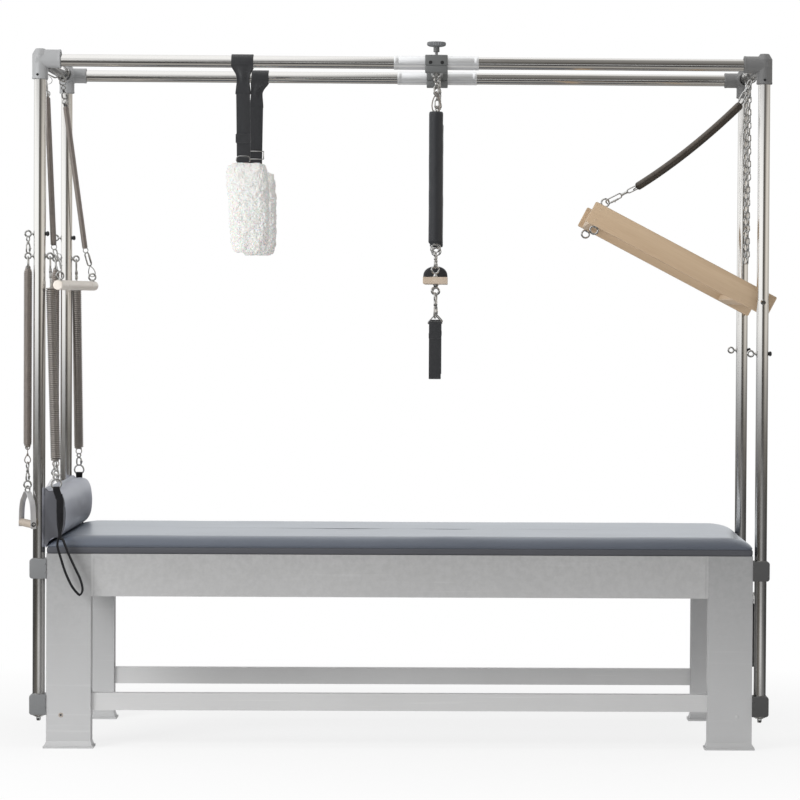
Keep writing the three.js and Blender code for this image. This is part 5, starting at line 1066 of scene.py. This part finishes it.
def build_leg_springs():
    for side, sy in SIDES:
        lean = 30.0 if sy < 0 else 4.0

        def at(height):
            share = (LEG_TOP - height) / (LEG_TOP - LEG_LOW)
            return np.array([LEG_X + lean * share, sy * (POST_Y + LEG_OUT * share), height])

        centres = line(at(1430), at(896))
        dark = [
            wound(centres, 16, 2.7, 534 / 6.6, 1.0, 0.8, 20, 8),
            core(centres, 13.0, 4),
            spring_loop(at(1426), at(1300), Y_AXIS, 8.5, 1.6),
            torus(at(886), Y_AXIS, 9.5, 1.6, 32, 8),
        ]
        bright = snap(at(LEG_TOP - 0.5), at(1412), Y_AXIS, 0.42) + snap(at(880), at(836), X_AXIS, 0.7)
        bright.append(oval(at(842), at(LEG_LOW), 36, WIRE, X_AXIS))
        finish(f"leg_spring_{side}", "spring_steel", (spring_leg, dark), (bright_steel, bright))
        build_foot_loop(side, *at(LEG_LOW))


def build_foot_loop(side, x0, y, z):
    """Webbing sewn round the bar of its ring, doubled to a fork with a stitched keeper, then open in a long loop."""
    lean = 11.0 if side == "near" else 0.0
    eye, fork, bottom = z + WIRE, z - 152, z - 325
    left = [(-0.05, 0.78), (-0.11, 0.66), (0.05, 0.485), (0.26, 0.29), (0.54, 0.112), (0.82, 0.01)]
    right = [(0.93, 0.01), (1, 0.08), (0.9, 0.21), (0.65, 0.374), (0.37, 0.56), (0.12, 0.75)]
    loop = [(x0 + out * 70, y, bottom + up * 229) for out, up in left + right]
    down = [(x0, y + 2.2, eye - 12), (x0, y + 2.0, z - 70), (x0 - 1.6, y + 1.5, z - 110), (x0 - 2.2, y, fork)]
    up = [(2 * x0 - a, 2 * y - b, c) for a, b, c in reversed(down)]
    crown = list(map(tuple, in_yz(arc((y, eye), WIRE + 2.3, 180, 0, 9), x0)))
    smooth = smooth_path(crown + down + loop + up, 320, closed=True)
    smooth[:, 0] += lean * np.clip((eye - 4 - smooth[:, 2]) / 30, 0, 1)
    turn = eased(np.clip((z - 60 - smooth[:, 2]) / 85, 0, 1)) * np.pi / 2
    width = np.column_stack([np.cos(turn), np.sin(turn), np.zeros(len(turn))])
    shapes = [
        ribbon(smooth, 21, 5.2, width, closed=True),
        stitched((x0 + 0.7 * lean, y, eye - 23), (11, 4.8, 7)),
        stitched((x0 + lean, y, z - 67), (10.6, 4.6, 5)),
    ]
    finish(f"foot_loop_{side}", "webbing_black", (webbing_foot, shapes))


# Trapeze: padded slings, board and hand loops

BOARD_LOW, BOARD_TOP = 1449, 1470
BOARD_HALF = 38.5


def build_trapeze():
    x = CARRIAGE_X
    rings = []
    for side, sy in SIDES:
        y = sy * POST_Y
        at = upright(x, y)
        bright = snap(at(2092.4), at(2032), (1, 0.3, 0), 0.55)
        bright += snap((x + 9, y + 5, 2088), (x + 9, y + 6, 2030), (0.5, 1, 0), 0.5)
        bright.append(torus((x - 2, y - 3, 1558), (0.2, 1, 0), 13, 2.2))
        bright.append(torus((x + 3, y + 3, 1560), (-0.3, 1, 0), 13, 1.8))
        bright += snap(at(1550), at(1494.6), (0.35, 1, 0), 0.55)
        for z, way in ((1984, -1), (PAD_LOW, 1)):
            ferrule = [(0, 7.5), (0.3, 8), (0.8, 7.5), (1, 5.5)]
            bright.append(stud(at(z), -way * Z_AXIS, 4, 5, ferrule, 24))
        hanger = teardrop(at(2040), at(1980), 26, 1.9, X_AXIS)
        name = f"trapeze_sling_{side}"
        groups = (bright_steel, bright), (spring_dark, [hanger])
        piece(f"{name}_hooks", groups, body_of(name), [name])
        build_sling_pad(side, x, y)
        for ring_z, face, way in ((1492, BOARD_TOP, 1), (1427, BOARD_LOW, -1)):
            rings.append(link_ring(at(ring_z)))
            rings.append(stud(at(face), way * Z_AXIS, 0.5, 10, EYE_COLLAR, 24))
    board = soft_box((x - BOARD_HALF, -345, BOARD_LOW), (x + BOARD_HALF, 345, BOARD_TOP), 2.0, 1.5, 1)
    finish("trapeze_board", "wood_beech", (board_wood, [board]), (bright_steel, rings))


def build_hand_loops():
    x, top = CARRIAGE_X, 1327.0
    for side, sy in SIDES:
        y = sy * POST_Y
        half = [(-21, 0), (-19.5, 4.5), (-4, 21.5)]
        triangle = mirrored(half, between=[(0, 23)]) + [(19, -2), (0, -2), (-19, -2)]
        triangle = smooth_path(in_xz([(x + a, top + b) for a, b in triangle], y), 60, closed=True)
        hook = snap((x, y, 1423), (x, y, 1340), (0.4, 1, 0), 0.5)
        hook.append(sweep(triangle, circle(2.0, 8), Y_AXIS, closed=True))
        left = [(4.3, 1315), (2.0, 1290), (2.0, 1276), (8, 1240), (11.6, 1205), (11.5, 1172), (8.5, 1156)]
        path = arc((y, top), WIRE + 1.9, 0, 180, 11) + mirrored([(y - a, b) for a, b in left], y, [(y, 1153.6)])
        path = smooth_path(in_yz(path, x), 200, closed=True)
        strap = [ribbon(path, 37.6, 2.8, X_AXIS, closed=True), stitched((x, y, 1287.5), (19.6, 4.6, 8.5))]
        finish(f"hand_loop_{side}", "webbing_black", (webbing_black, strap), (bright_steel, hook))


# Fleece straps

STRAP_X = -496.0
# Half width of the gathered strap on each side, at these drops below the tube
STRAP_DROPS = [0, 4, 10, 17, 25, 34, 44, 56, 70, 90]
STRAP_HALVES = {
    -1: [34, 34.5, 33, 29, 24, 20, 18.2, 18.6, 20.5, 22.5],
    1: [28, 29, 29, 27, 23, 20, 18, 18.2, 19.5, 21],
}


def gathered(top, x, y, way, halves):
    """Side of the strap from the tube to its pinch: a waved sheet that narrows as it drops."""
    drop = np.linspace(0, 1, 34) * 92
    half = np.interp(drop, STRAP_DROPS, halves)[:, None]
    toward = eased(np.clip(drop / 46, 0, 1))
    across = top[0] * (1 - toward) + (x + 1.5 * way) * toward
    deep = top[1] * (1 - toward) + (y + way * 3.2) * toward
    columns = np.linspace(-1, 1, 25)
    fold = way * 3.5 * np.sin(np.clip(drop / 60, 0, 1) * np.pi)[:, None] * np.cos(columns * np.pi * 1.5)
    level = np.repeat((top[2] - drop)[:, None], len(columns), axis=1)
    face = np.stack([across[:, None] + half * columns, deep[:, None] + fold, level], axis=2)
    return grid(np.concatenate([face, face[:, ::-1] - (0, way * 2.4, 0)], axis=1))


def build_fleece_straps():
    """Webbing choked round the tube: a wide band over it, gathered to a pinch below, then a flat drop to the sleeve."""
    x = STRAP_X
    for side, sy in SIDES:
        y = sy * POST_Y
        over = in_yz(arc((y, TUBE_Z), 21.6, 205, -25, 41), x - 2 if sy < 0 else x + 12)
        halves = STRAP_HALVES[sy]
        shapes = [ribbon(over, 2 * halves[0], 2.6, X_AXIS)]
        for way, top in ((-1, over[0]), (1, over[-1])):
            shapes.append(gathered(top, x, y, way, halves))
            points = in_yz([(y + way * a, z) for a, z in ((3.2, 2035), (2.2, 1990), (1.8, 1900), (1.8, 1815))], x)
            points[:, 0] += np.interp(points[:, 2], [1815, 2035], [-sy * 3.0, 0])
            shapes.append(ribbon(smooth_path(points, 60), 43, 2.6, X_AXIS))
        if sy < 0:
            shapes.append(stitched((x + 0.75, y, 1896), (23.25, 6.2, 14), 2.0, 1.6))
            shapes.append(stitched((x + 1, y, 1829.5), (19, 8, 8.5), 2.0, 1.6))
            bits = [oval((x - 22, y - 3, 1831), (x + 24, y - 3, 1831), 24, 2.0, Z_AXIS)]
        else:
            bits = [rounded_rod((x - 25, y - 6.4, z), (x + 25, y - 6.4, z), 1.8, 1, 40) for z in (1888, 1862)]
            bits += [rounded_rod((x + a, y - 6.0, 1862), (x + a, y - 6.0, 1888), 1.8, 1, 40) for a in (-24, 24)]
        finish(f"fleece_strap_{side}", "webbing_black", (webbing_black, shapes), (bright_steel, bits))


# Push-through frame and its spring

def build_push_frame():
    """Two long arms with a cross piece at each end, made level about the pivot and then turned up to its lean."""
    arms, bright = [], []
    cross = [
        soft_box((-591, -282, -35), (-571, 282, 35), 3, 2, 1),
        soft_box((-79, -282, -35), (-45, 282, -15), 3, 2, 1),
        soft_box((-591, -20, 15), (-559, 20, 35), 3, 2, 2),
    ]
    for y, ring_z, foot, tip in ((0, 60, 34.5, 50), (-288, -47, -34.5, -40), (288, -47, -34.5, -40)):
        bright.append(link_ring((-569, y, ring_z), 12.5))
        bright.append(turned((-569, y, foot), (-569, y, tip), EYE_COLLAR, 24))
    for _, sy in SIDES:
        inner, face = sy * 278.0, sy * 298.0
        arms.append(soft_box((-605, min(inner, face), -35), (36, max(inner, face), 35), 4.5, 2.5, 1))
        bright.append(stud(face * Y_AXIS, sy * Y_AXIS, 0.4, 2.2, [(0, 12), (0.7, 12), (1, 11)], 32))
        for x, z in ((-581, -18), (-581, 18), (-62, -25)):
            cross.append(stud(vec((x, face, z)), sy * Y_AXIS, 1, 0.5, [(0, 4.2), (0.8, 4.2), (1, 3.6)], 20))
    groups = (beech_arm, arms), (beech_y, cross), (bright_steel, bright)
    finish("push_through_frame", "wood_beech", *moved(groups, "Y", PUSH_TURN, PUSH_PIVOT))


def build_push_spring():
    """Spring that bends between the end tube and the frame's upper eye."""
    eye = np.array([647.1, 0.0, 1713.9])
    top = np.array([1083.0, 0.0, 2035.0])
    bottom = eye + (100, 0, 51)
    centres = line(top, bottom, 80)
    share = np.linspace(0, 1, 80)
    centres[:, 2] -= 15 * 4 * share * (1 - share)
    along = unit(bottom - eye)
    centre = np.array([POST_X, 0.0, TUBE_Z])
    pull = unit(top - centre)
    turns = np.linalg.norm(bottom - top) / 3.0
    dark = [
        wound(centres, 13.6, 1.3, turns, 2.6, 0.5),
        core(centres, 13.0, 8),
        spring_loop(top, bottom, Y_AXIS, 7),
        spring_loop(bottom, top, Y_AXIS, 7),
    ]
    bright = [hook_band(POST_X, 0)]
    bright += snap(centre + pull * 21.5, top + unit(bottom - top) * 9, (pull[2], 0.6, -pull[0]))
    bright += snap(bottom + along * 9, eye + along * 1.8, (along[2], 0.25, -along[0]), 0.5)
    groups = (spring_black, dark), (bright_steel, bright)
    made = piece("push_through_spring_finish", groups)
    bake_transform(made)
    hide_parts("push_through_spring")


# Safety chain and end strap

CHAIN_TOP, CHAIN_LOW = 2114.0, 1517
LINK_LENGTH, LINK_PITCH = 27.0, 21.0
LINK_TURNS = ((0.3, 1, 0), (1, 0.35, 0), (-0.5, 1, 0), (1, -0.5, 0))


def build_chain():
    """Two strands of welded chain over the end tube, their links by turns flat and on edge."""
    x, y = POST_X, 120.0
    shapes = [torus((x, y, TUBE_Z), Y_AXIS, 22.6, 2.2, 56, 10)]
    for way in (-1, 1):
        for number, height in enumerate(np.arange(CHAIN_TOP, CHAIN_LOW + LINK_LENGTH, -LINK_PITCH)):
            at = upright(x - 7 + way * (4.5 if height < 1800 else 6.5), y + way * 9)
            across = LINK_TURNS[(number + (way > 0)) % 4]
            shapes.append(oval(at(height), at(height - LINK_LENGTH), 16.0, 2.7, across, 7, 8))
    finish("safety_chain", "chrome_wire", (bright_steel, shapes))


def build_end_strap():
    x, y = 1107.0, -255.0
    path = mirrored([(x + 1.9, 253), (x + 1.9, 400), (x + 2.2, 436)], x, arc((x, 447.5), 3.4, 0, 180, 9))
    strap = [
        ribbon(smooth_path(in_xz(path, y), 160), 37.6, 1.9, Y_AXIS),
        stitched((x, y, 261), (4.4, 19, 9), 1.2, 1.0),
    ]
    ring = torus((x, y, 465), X_AXIS, 19, 1.6, 40, 8)
    finish("end_strap", "webbing_black", (webbing_black, strap), (bright_steel, [ring]))


# Soft goods: mat, bolster, sling pads, board pad and fleece sleeves

MAT_CORNER = 9
MAT_FALL_X, MAT_FALL_Y = 94, 46
MAT_COLUMNS_X, MAT_COLUMNS_Y = 170, 64
PAD_LOW = 1573
PAD_SIDES = 56
FLEECE_LOW, FLEECE_HEIGHT = 1543, 277
FLEECE_SIDES = 280
BOLSTER_FRONT, BOLSTER_BACK, BOLSTER_CREST = -1038.7, -1104.7, 801.0
BOLSTER_HALF = 341


def lumps(points, size, seed):
    """Smooth random value from 0 to 1 at each point: a hashed lattice of a spacing, blended from its corners."""
    table = np.random.default_rng(seed).random(4096)
    place = vec(points) / size
    cell = np.floor(place).astype(np.int64)
    share = eased(place - cell)
    total = np.zeros(place.shape[:-1])
    for corner in np.ndindex(2, 2, 2):
        at = cell + corner
        key = (at[..., 0] * 73856093) ^ (at[..., 1] * 19349663) ^ (at[..., 2] * 83492791)
        weight = np.prod(np.where(np.array(corner) == 1, share, 1 - share), axis=-1)
        total += weight * table[key & 4095]
    return total


def pushed(points, height, base=None):
    """Points pushed out by a height at each; out is square to a grid [row, column] that closes round its columns."""
    base = points if base is None else base
    by_row = np.gradient(base, axis=0)
    by_col = np.roll(base, -1, axis=1) - np.roll(base, 1, axis=1)
    out = np.cross(by_col, by_row)
    out = out / np.maximum(np.linalg.norm(out, axis=-1, keepdims=True), 1e-9)
    if np.sum(out * (base - base.mean(axis=(0, 1)))) < 0:
        out = -out
    return points + out * height[..., None]


def fall(distance, length):
    """Quarter-ellipse rise from 0 at the edge to 1 at a length in from it."""
    return np.sqrt(np.clip(1 - (1 - np.clip(distance / length, 0, 1)) ** 2, 0, 1))


def bench_loop(inset, corner):
    """Points round the bench's outline less an inset, with round corners and the same count on every loop."""
    inner = np.maximum([BENCH_END - inset - corner, BENCH_SIDE - inset - corner], [0.4, 0.2])
    bends = []
    for k, sign in enumerate(((1, 1), (-1, 1), (-1, -1), (1, -1))):
        angle = np.linspace(0, np.pi / 2, 6) + k * np.pi / 2
        bends.append(inner * sign + corner * np.stack([np.cos(angle), np.sin(angle)], axis=1))
    parts = []
    for k, bend in enumerate(bends):
        share = np.linspace(0, 1, (MAT_COLUMNS_Y if k % 2 else MAT_COLUMNS_X) + 2)[1:-1, None]
        parts += [bend, bend[-1] * (1 - share) + bends[(k + 1) % 4][0] * share]
    return np.concatenate(parts)


def build_mat():
    """Upholstered pad: a plain band, a sewn groove round it, and a crown that falls to the groove on all sides."""
    band = [(3.2, 605.5), (1.6, 606.2), (0.6, 608.4), (0.1, 612.5), (0.1, 618), (0.6, 621.8), (1.8, 624.2)]
    insets = [0.9, 1.1, 1.6, 2.4, 3.6, 5.2, 7.5, 10.5, 14, 18.5, 24, 30, 38, 46, 56, 68, 82, 94, 112, 140, 180, 220]
    layers = []
    for inset, height in band + [(3.4, MAT_SEAM), (2.2, 626.6)]:
        loop = bench_loop(inset, MAT_CORNER)
        layers.append(np.column_stack([loop, np.full(len(loop), height)]))
    for inset in insets + [260, 300, 330, 342]:
        loop = bench_loop(inset, MAT_CORNER + 10 * min(inset / 46, 1) if inset < 320 else 0.3)
        rise = fall(BENCH_END - np.abs(loop[:, 0]), MAT_FALL_X) * fall(BENCH_SIDE - np.abs(loop[:, 1]), MAT_FALL_Y)
        layers.append(np.column_stack([loop, MAT_SEAM + MAT_CROWN * rise]))
    points = np.stack(layers)
    soft = (lumps(points * (1, 1, 0.2), 160, 3) - 0.5) * 1.6
    creases = (lumps(points * (1, 0.55, 0.5), 34, 4) - 0.5) * 0.7
    height = points[..., 2]
    edge = np.clip((height - 626) / 8, 0, 1) * np.clip((662 - height) / 20, 0, 1)
    points = pushed(points, soft * (height > 630) + creases * edge)
    made = finish("mat", "mat_vinyl", (mat_vinyl, [grid(points)]), (mat_band, []), smooth=70)
    below = centres_of(made.data)[:, 2] < (MAT_SEAM + 0.5) * MM
    made.data.polygons.foreach_set("material_index", below.astype(np.int32))


def bolster_outline(shrink):
    """Closed outline of the bolster across its length, from its foot on the mat, up its face and down its back."""
    depth = BOLSTER_FRONT - BOLSTER_BACK
    foot = []
    for share in (0.0, 0.25, 0.5, 0.72):
        x = BOLSTER_BACK + share * depth
        inside = BENCH_END + min(x, MAT_FALL_X - BENCH_END)
        foot.append((x, MAT_SEAM + MAT_CROWN * float(fall(inside, MAT_FALL_X)) + (3.6 if share else 4.6)))
    low = foot[-1][1]
    face = [(0.93, 0.16), (1, 0.38), (1, 0.6), (0.93, 0.8), (0.76, 0.95), (0.5, 1), (0.2, 0.995), (0, 0.97)]
    outline = np.array(foot + [(BOLSTER_BACK + a * depth, low + u * (BOLSTER_CREST - low)) for a, u in face])
    middle = outline.mean(axis=0)
    return middle + (outline - middle) * (1 - shrink / 45)


def build_bolster():
    """Stuffed end cushion with sewn ends: it swells between its two end seams."""
    stations = [(-1, 2.2), (-0.9965, 0.5), (-0.98, 0.1), (-0.94, 0), (-0.8, 0), (-0.5, 0.4), (-0.2, 0.8)]
    stations = mirrored(stations)
    wide = np.stack([
        smooth_path(np.insert(bolster_outline(shrink), 1, share * BOLSTER_HALF, axis=1), 72, closed=True)
        for share, shrink in stations
    ])
    keys = [share for share, _ in stations]
    even = np.concatenate([np.linspace(-1, -0.94, 9), np.linspace(-0.92, 0.92, 60), np.linspace(0.94, 1, 9)])
    columns = [[np.interp(even, keys, wide[:, j, k]) for k in range(3)] for j in range(wide.shape[1])]
    points = np.array(columns).transpose(2, 0, 1)
    creases = (lumps(points * (1, 0.35, 1), 26, 7) - 0.5) * 0.9
    slow = (lumps(points, 90, 8) - 0.5) * 2.4
    points = pushed(points, slow + creases - 0.8)
    points[..., 0] = np.maximum(points[..., 0], BOLSTER_BACK)
    # Painted light and shade: the body in the lighter vinyl, the end panels in the darker one.
    made = finish("end_bolster", "mat_vinyl", (bolster_vinyl, [grid(points)]), (bolster_end_shade, []), smooth=50)
    at_end = np.abs(centres_of(made.data)[:, 1]) > (BOLSTER_HALF - 1.5) * MM
    made.data.polygons.foreach_set("material_index", at_end.astype(np.int32))


def build_sling_pad(side, x, y):
    """Foam tube in a black cover: rounded ends, soft dents, and a seam down its back."""
    height = np.concatenate([[0, 0, 0.6, 2, 4.5, 8], np.linspace(12, 399, 80), [403, 406.5, 409, 410.4, 411, 411]])
    ends = [8, 14.5, 18.5, 20.4, 21.6, 22]
    radius = np.array(ends + [22.0] * 80 + ends[::-1])[:, None]
    turn = np.arange(PAD_SIDES) * 2 * np.pi / PAD_SIDES
    level = np.repeat(PAD_LOW + height[:, None], PAD_SIDES, axis=1)
    points = np.stack([x + radius * np.cos(turn), y + radius * np.sin(turn), level], axis=2)
    dents = (lumps(points * (1, 1, 0.6), 22, 11) - 0.6) * 1.3
    seam = -1.2 * np.exp(-(((turn - math.pi / 2 + math.pi) % (2 * math.pi) - math.pi) / 0.07) ** 2)
    points = pushed(points, (np.minimum(dents, 0.25) + seam) * (radius > 21.9))
    name = f"trapeze_sling_{side}"
    made = piece(f"trapeze_pad_{side}", [(pad_black, [grid(points)])], body_of(name), [name], 60)


def build_board_pad():
    """Half-round foam grip on the trapeze board, with its cover stapled down along both edges."""
    half = BOARD_HALF - 0.3
    angle = np.linspace(0, np.pi, 41)
    arch = np.column_stack([half * np.cos(angle), 34 * np.sin(angle) ** 0.8])
    flat = np.column_stack([np.linspace(-half, half, 14)[1:-1], np.zeros(12)])
    outline = np.concatenate([arch, flat])
    ends = [(-285, 0.8), (-284.4, 0.9), (-282.6, 0.96), (-280, 0.99)]
    stations = mirrored(ends, between=[(y, 1.0) for y in np.linspace(-276, 276, 70)])
    points = np.stack([np.insert(outline * s + (CARRIAGE_X, BOARD_TOP + 0.3), 1, y, axis=1) for y, s in stations])
    soft = (lumps(points * (1, 0.4, 1), 30, 13) - 0.6) * 1.4 * (points[..., 2] > BOARD_TOP + 4)
    points = pushed(points, np.minimum(soft, 0.2))
    made = finish("trapeze_board_pad", "pad_black", (pad_black, [grid(points)]), smooth=60)


def build_fleece():
    """Sheepskin sleeves: rounded oval rows with a curly pile in clumps, thinner at the open ends."""
    up = np.concatenate([np.linspace(0, 0.12, 22), np.linspace(0.127, 0.9, 134), np.linspace(0.905, 1, 22)])[:, None]
    full = np.interp(up, [0, 0.03, 0.12, 0.35, 0.65, 0.88, 0.97, 1], [0.72, 0.9, 0.99, 1, 0.98, 0.95, 0.86, 0.66])
    full = full * np.interp(up, [0, 0.6, 1], [0.86, 0.97, 1.04])
    cosine, sine = circle(1.0, FLEECE_SIDES).T
    across = np.sign(cosine) * np.abs(cosine) ** 0.7 * 66
    deep = np.sign(sine) * np.abs(sine) ** 0.8 * 36
    level = np.repeat(FLEECE_LOW + up * FLEECE_HEIGHT, FLEECE_SIDES, axis=1)
    for side, sy in SIDES:
        lean = 3.0 * np.sin(up * 3.1) + (8.0 if sy < 0 else -7.0) - 11.0 * up
        points = np.stack([-482 + lean + full * across, sy * POST_Y + full * deep, level], axis=2)
        smooth = points
        for size, height, seed in ((30, 4.5, 21), (11, 3.8, 22), (5.5, 3.6, 23), (3.2, 2.6, 24)):
            points = pushed(points, (lumps(points + sy * 7, size, seed) - 0.5) * height, smooth)
        made = finish(f"fleece_{side}", "fleece_white", (fleece_white, [grid(points)]), smooth=80)


for side, _ in SIDES:
    for end, _ in ENDS:
        dress(f"leg_{side}_{end}", bench_aluminium, 1.6)
    dress(f"side_rail_{side}", rail_aluminium, 1.6)
    dress(f"stretcher_{side}", rail_aluminium, 1.6)
for end, _ in ENDS:
    dress(f"end_rail_{end}", rail_aluminium, 0.8)
build_leg_details()
build_posts()
build_castings()
build_overhead()
build_carriage()
build_mat()
build_bolster()
build_board_pad()
build_fleece()
build_roll_down_springs()
build_roll_down_bar()
build_arm_springs()
build_leg_springs()
build_trapeze()
build_hand_loops()
build_fleece_straps()
build_push_frame()
build_push_spring()
build_chain()
build_end_strap()


# White studio: a floor that keeps the object's shadow, and light that is brighter on the left

ROOM_LEVEL = 0.18
SIDE_LIGHT = 0.35
TOP_LIGHT = 0.25
ROOM_GLOSS = 1.3
FLOOR_BOUNCE = 1.1
WHITE = (1, 1, 1, 1)

# What polished pieces see, as stops of (place, grey level, warmth). Round the room, 0.5 is straight behind the camera.
# Up the room, a place is 0.5 and half the slope of the view, so 0 is the floor and 1 the ceiling.
ROOM_AROUND = [
    (0.0, 0.9), (0.05, 0.75), (0.11, 0.6), (0.17, 0.85), (0.23, 1.0), (0.4, 1.0), (0.45, 0.95), (0.475, 0.24),
    (0.495, 0.09, 0.3), (0.55, 0.09, 0.3), (0.6, 0.45, 0.25), (0.66, 0.75, 0.2), (0.76, 0.6, 0.2),
    (0.86, 0.35, 0.3), (0.93, 0.8), (1.0, 0.9),
]
ROOM_LEVELS = [
    (0.0, 0.2), (0.43, 0.1, 0.2), (0.445, 0.14, 0.2), (0.466, 0.22, 0.1), (0.479, 0.34, -0.1),
    (0.491, 0.5, -0.1), (0.503, 0.8), (0.515, 1.0), (1.0, 1.0),
]
ROOM_CEILING = [
    (0.0, 0.9), (0.2, 0.95), (0.472, 0.95), (0.484, 0.8), (0.493, 0.42), (0.505, 0.22, 0.15),
    (0.53, 0.2, 0.15), (0.7, 0.45, 0.1), (1.0, 0.9),
]
ROOM_RISE = [(0.0, 0.45), (0.55, 0.5), (0.66, 0.6), (0.76, 0.8), (0.88, 1.0), (1.0, 1.0)]
ROOM_LOW = [
    (0.0, 0.3), (0.144, 0.2), (0.244, 0.12), (0.317, 0.12, 0.3), (0.383, 0.13, 0.3), (0.444, 0.3, 0.2),
    (0.48, 0.72), (0.53, 0.72), (0.6, 0.26), (0.683, 0.17), (0.756, 0.12), (0.856, 0.12), (1.0, 0.3),
]
ROOM_SINK = [(0.0, 1.0), (0.371, 1.0), (0.386, 0.42), (0.41, 0.38), (1.0, 0.38)]
ROOM_FLOOR = [
    (0.0, 0.1, 0.2), (0.01, 0.14, 0.2), (0.03, 0.36, 0.15), (0.1, 0.33, 0.15), (0.16, 0.2, 0.1),
    (0.2, 0.045), (0.29, 0.03), (0.34, 0.1), (0.42, 0.16, 0.1), (1.0, 0.17, 0.1),
]


def make_world():
    """White to the camera; to everything else a room with a bright left side, a dark strip and a warm right side."""
    world = bpy.data.worlds.new("studio")
    bpy.context.scene.world = world
    world.use_nodes = True
    made = Nodes(world.node_tree)
    made.tree.nodes.clear()
    add, calculate = made.add, made.calculate

    def ramp(value, stops):
        result = add("ValToRGB", 0, _0=value)
        points = result.node.color_ramp.elements
        while len(points) < len(stops):
            points.new(0.5)
        for point, (at, level, *warm) in zip(points, stops):
            warm = sum(warm)
            point.position = at
            point.color = (level, level * (1 - 0.25 * warm), level * (1 - 0.6 * warm), 1)
        return result

    def scaled(by_turn, by_height):
        return add("VectorMath", 0, [("operation", "MULTIPLY")], _0=ramp(turn, by_turn), _1=ramp(height, by_height))

    def above(low, high, lower, upper):
        """Lower view below one height and upper view above another, with a soft step between them."""
        fac = add("MapRange", 0, [("interpolation_type", "SMOOTHSTEP")], Value=height, From_Min=low, From_Max=high)
        return made.between(fac, lower, upper)

    view = add("SeparateXYZ", 0, _0=add("TexCoord", "Generated")).node.outputs
    turn = calculate("ARCTAN2", view["X"], calculate("MULTIPLY", view["Y"], -1))
    turn = calculate("ADD", calculate("DIVIDE", turn, 2 * math.pi), 0.5)
    height = calculate("ADD", calculate("DIVIDE", view["Z"], 2), 0.5)
    low = above(0.335, 0.355, ramp(height, ROOM_FLOOR), scaled(ROOM_LOW, ROOM_SINK))
    high = above(0.58, 0.64, scaled(ROOM_AROUND, ROOM_LEVELS), scaled(ROOM_CEILING, ROOM_RISE))
    room = above(0.44, 0.466, low, high)
    side = calculate("ADD", calculate("MULTIPLY", view["X"], -SIDE_LIGHT), 1)
    top = calculate("ADD", calculate("MULTIPLY", view["Z"], TOP_LIGHT), 1)
    light = calculate("MULTIPLY", calculate("MULTIPLY", side, top), ROOM_LEVEL)
    soft = add("Background", 0, Color=WHITE, Strength=light)
    mirrored_room = add("Background", 0, Color=room, Strength=ROOM_GLOSS)
    rays = add("LightPath", 0).node.outputs
    unseen = add("MixShader", 0, _0=rays["Is Glossy Ray"], _1=soft, _2=mirrored_room)
    seen = add("MixShader", 0, _0=rays["Is Camera Ray"], _1=unseen, _2=add("Background", 0, Color=WHITE))
    made.put(seen, made.tree.nodes.new("ShaderNodeOutputWorld").inputs["Surface"])


def make_lamp(name, place, aim, size, power):
    """Soft square lamp that mirrors don't show."""
    data = bpy.data.lights.new(name, "AREA")
    data.size = size
    data.energy = power
    lamp = bpy.data.objects.new(name, data)
    lamp.location = place
    lamp.rotation_euler = (Vector(aim) - Vector(place)).to_track_quat("-Z", "Y").to_euler()
    lamp.visible_glossy = False
    lamp.visible_camera = False
    bpy.context.scene.collection.objects.link(lamp)


def make_floor():
    """Round floor that fades into the white round it."""
    outline = np.insert(circle(1.0, 96), 2, -0.4, axis=1)
    shape = grid(np.stack([outline, outline * (60000, 60000, 1)]))
    shape["caps"] = [np.arange(96)[::-1]]
    made = Finish("floor_white", (0.9, 0.9, 0.9), 1.0, Specular_IOR_Level=0.0)
    round_it = made.add("Mapping", 0, Vector=made.object_place, Scale=(0.62, 1.0, 0))
    distance = made.add("VectorMath", "Value", [("operation", "LENGTH")], _0=round_it)
    fade = made.spread(distance, 0.7, 1.9, 0.82, 1.0)
    bounce = made.spread(made.add("LightPath", "Is Camera Ray"), 0, 1, FLOOR_BOUNCE, 1.0)
    plain = made.add("Emission", 0, Color=WHITE, Strength=bounce)
    mix = made.add("MixShader", 0, _0=fade, _1=made.shader.outputs[0], _2=plain)
    made.put(mix, made.tree.nodes["Material Output"].inputs["Surface"])
    floor = piece("floor", [(made.material, [shape])])
    floor.visible_glossy = False


make_world()
make_lamp("key", (-3.3, -2.9, 2.4), (-0.6, 0, 0.9), 1.8, 125)
make_lamp("overhead", (1.0, -0.2, 4.6), (-0.2, 0, 0), 4.0, 85)
make_floor()
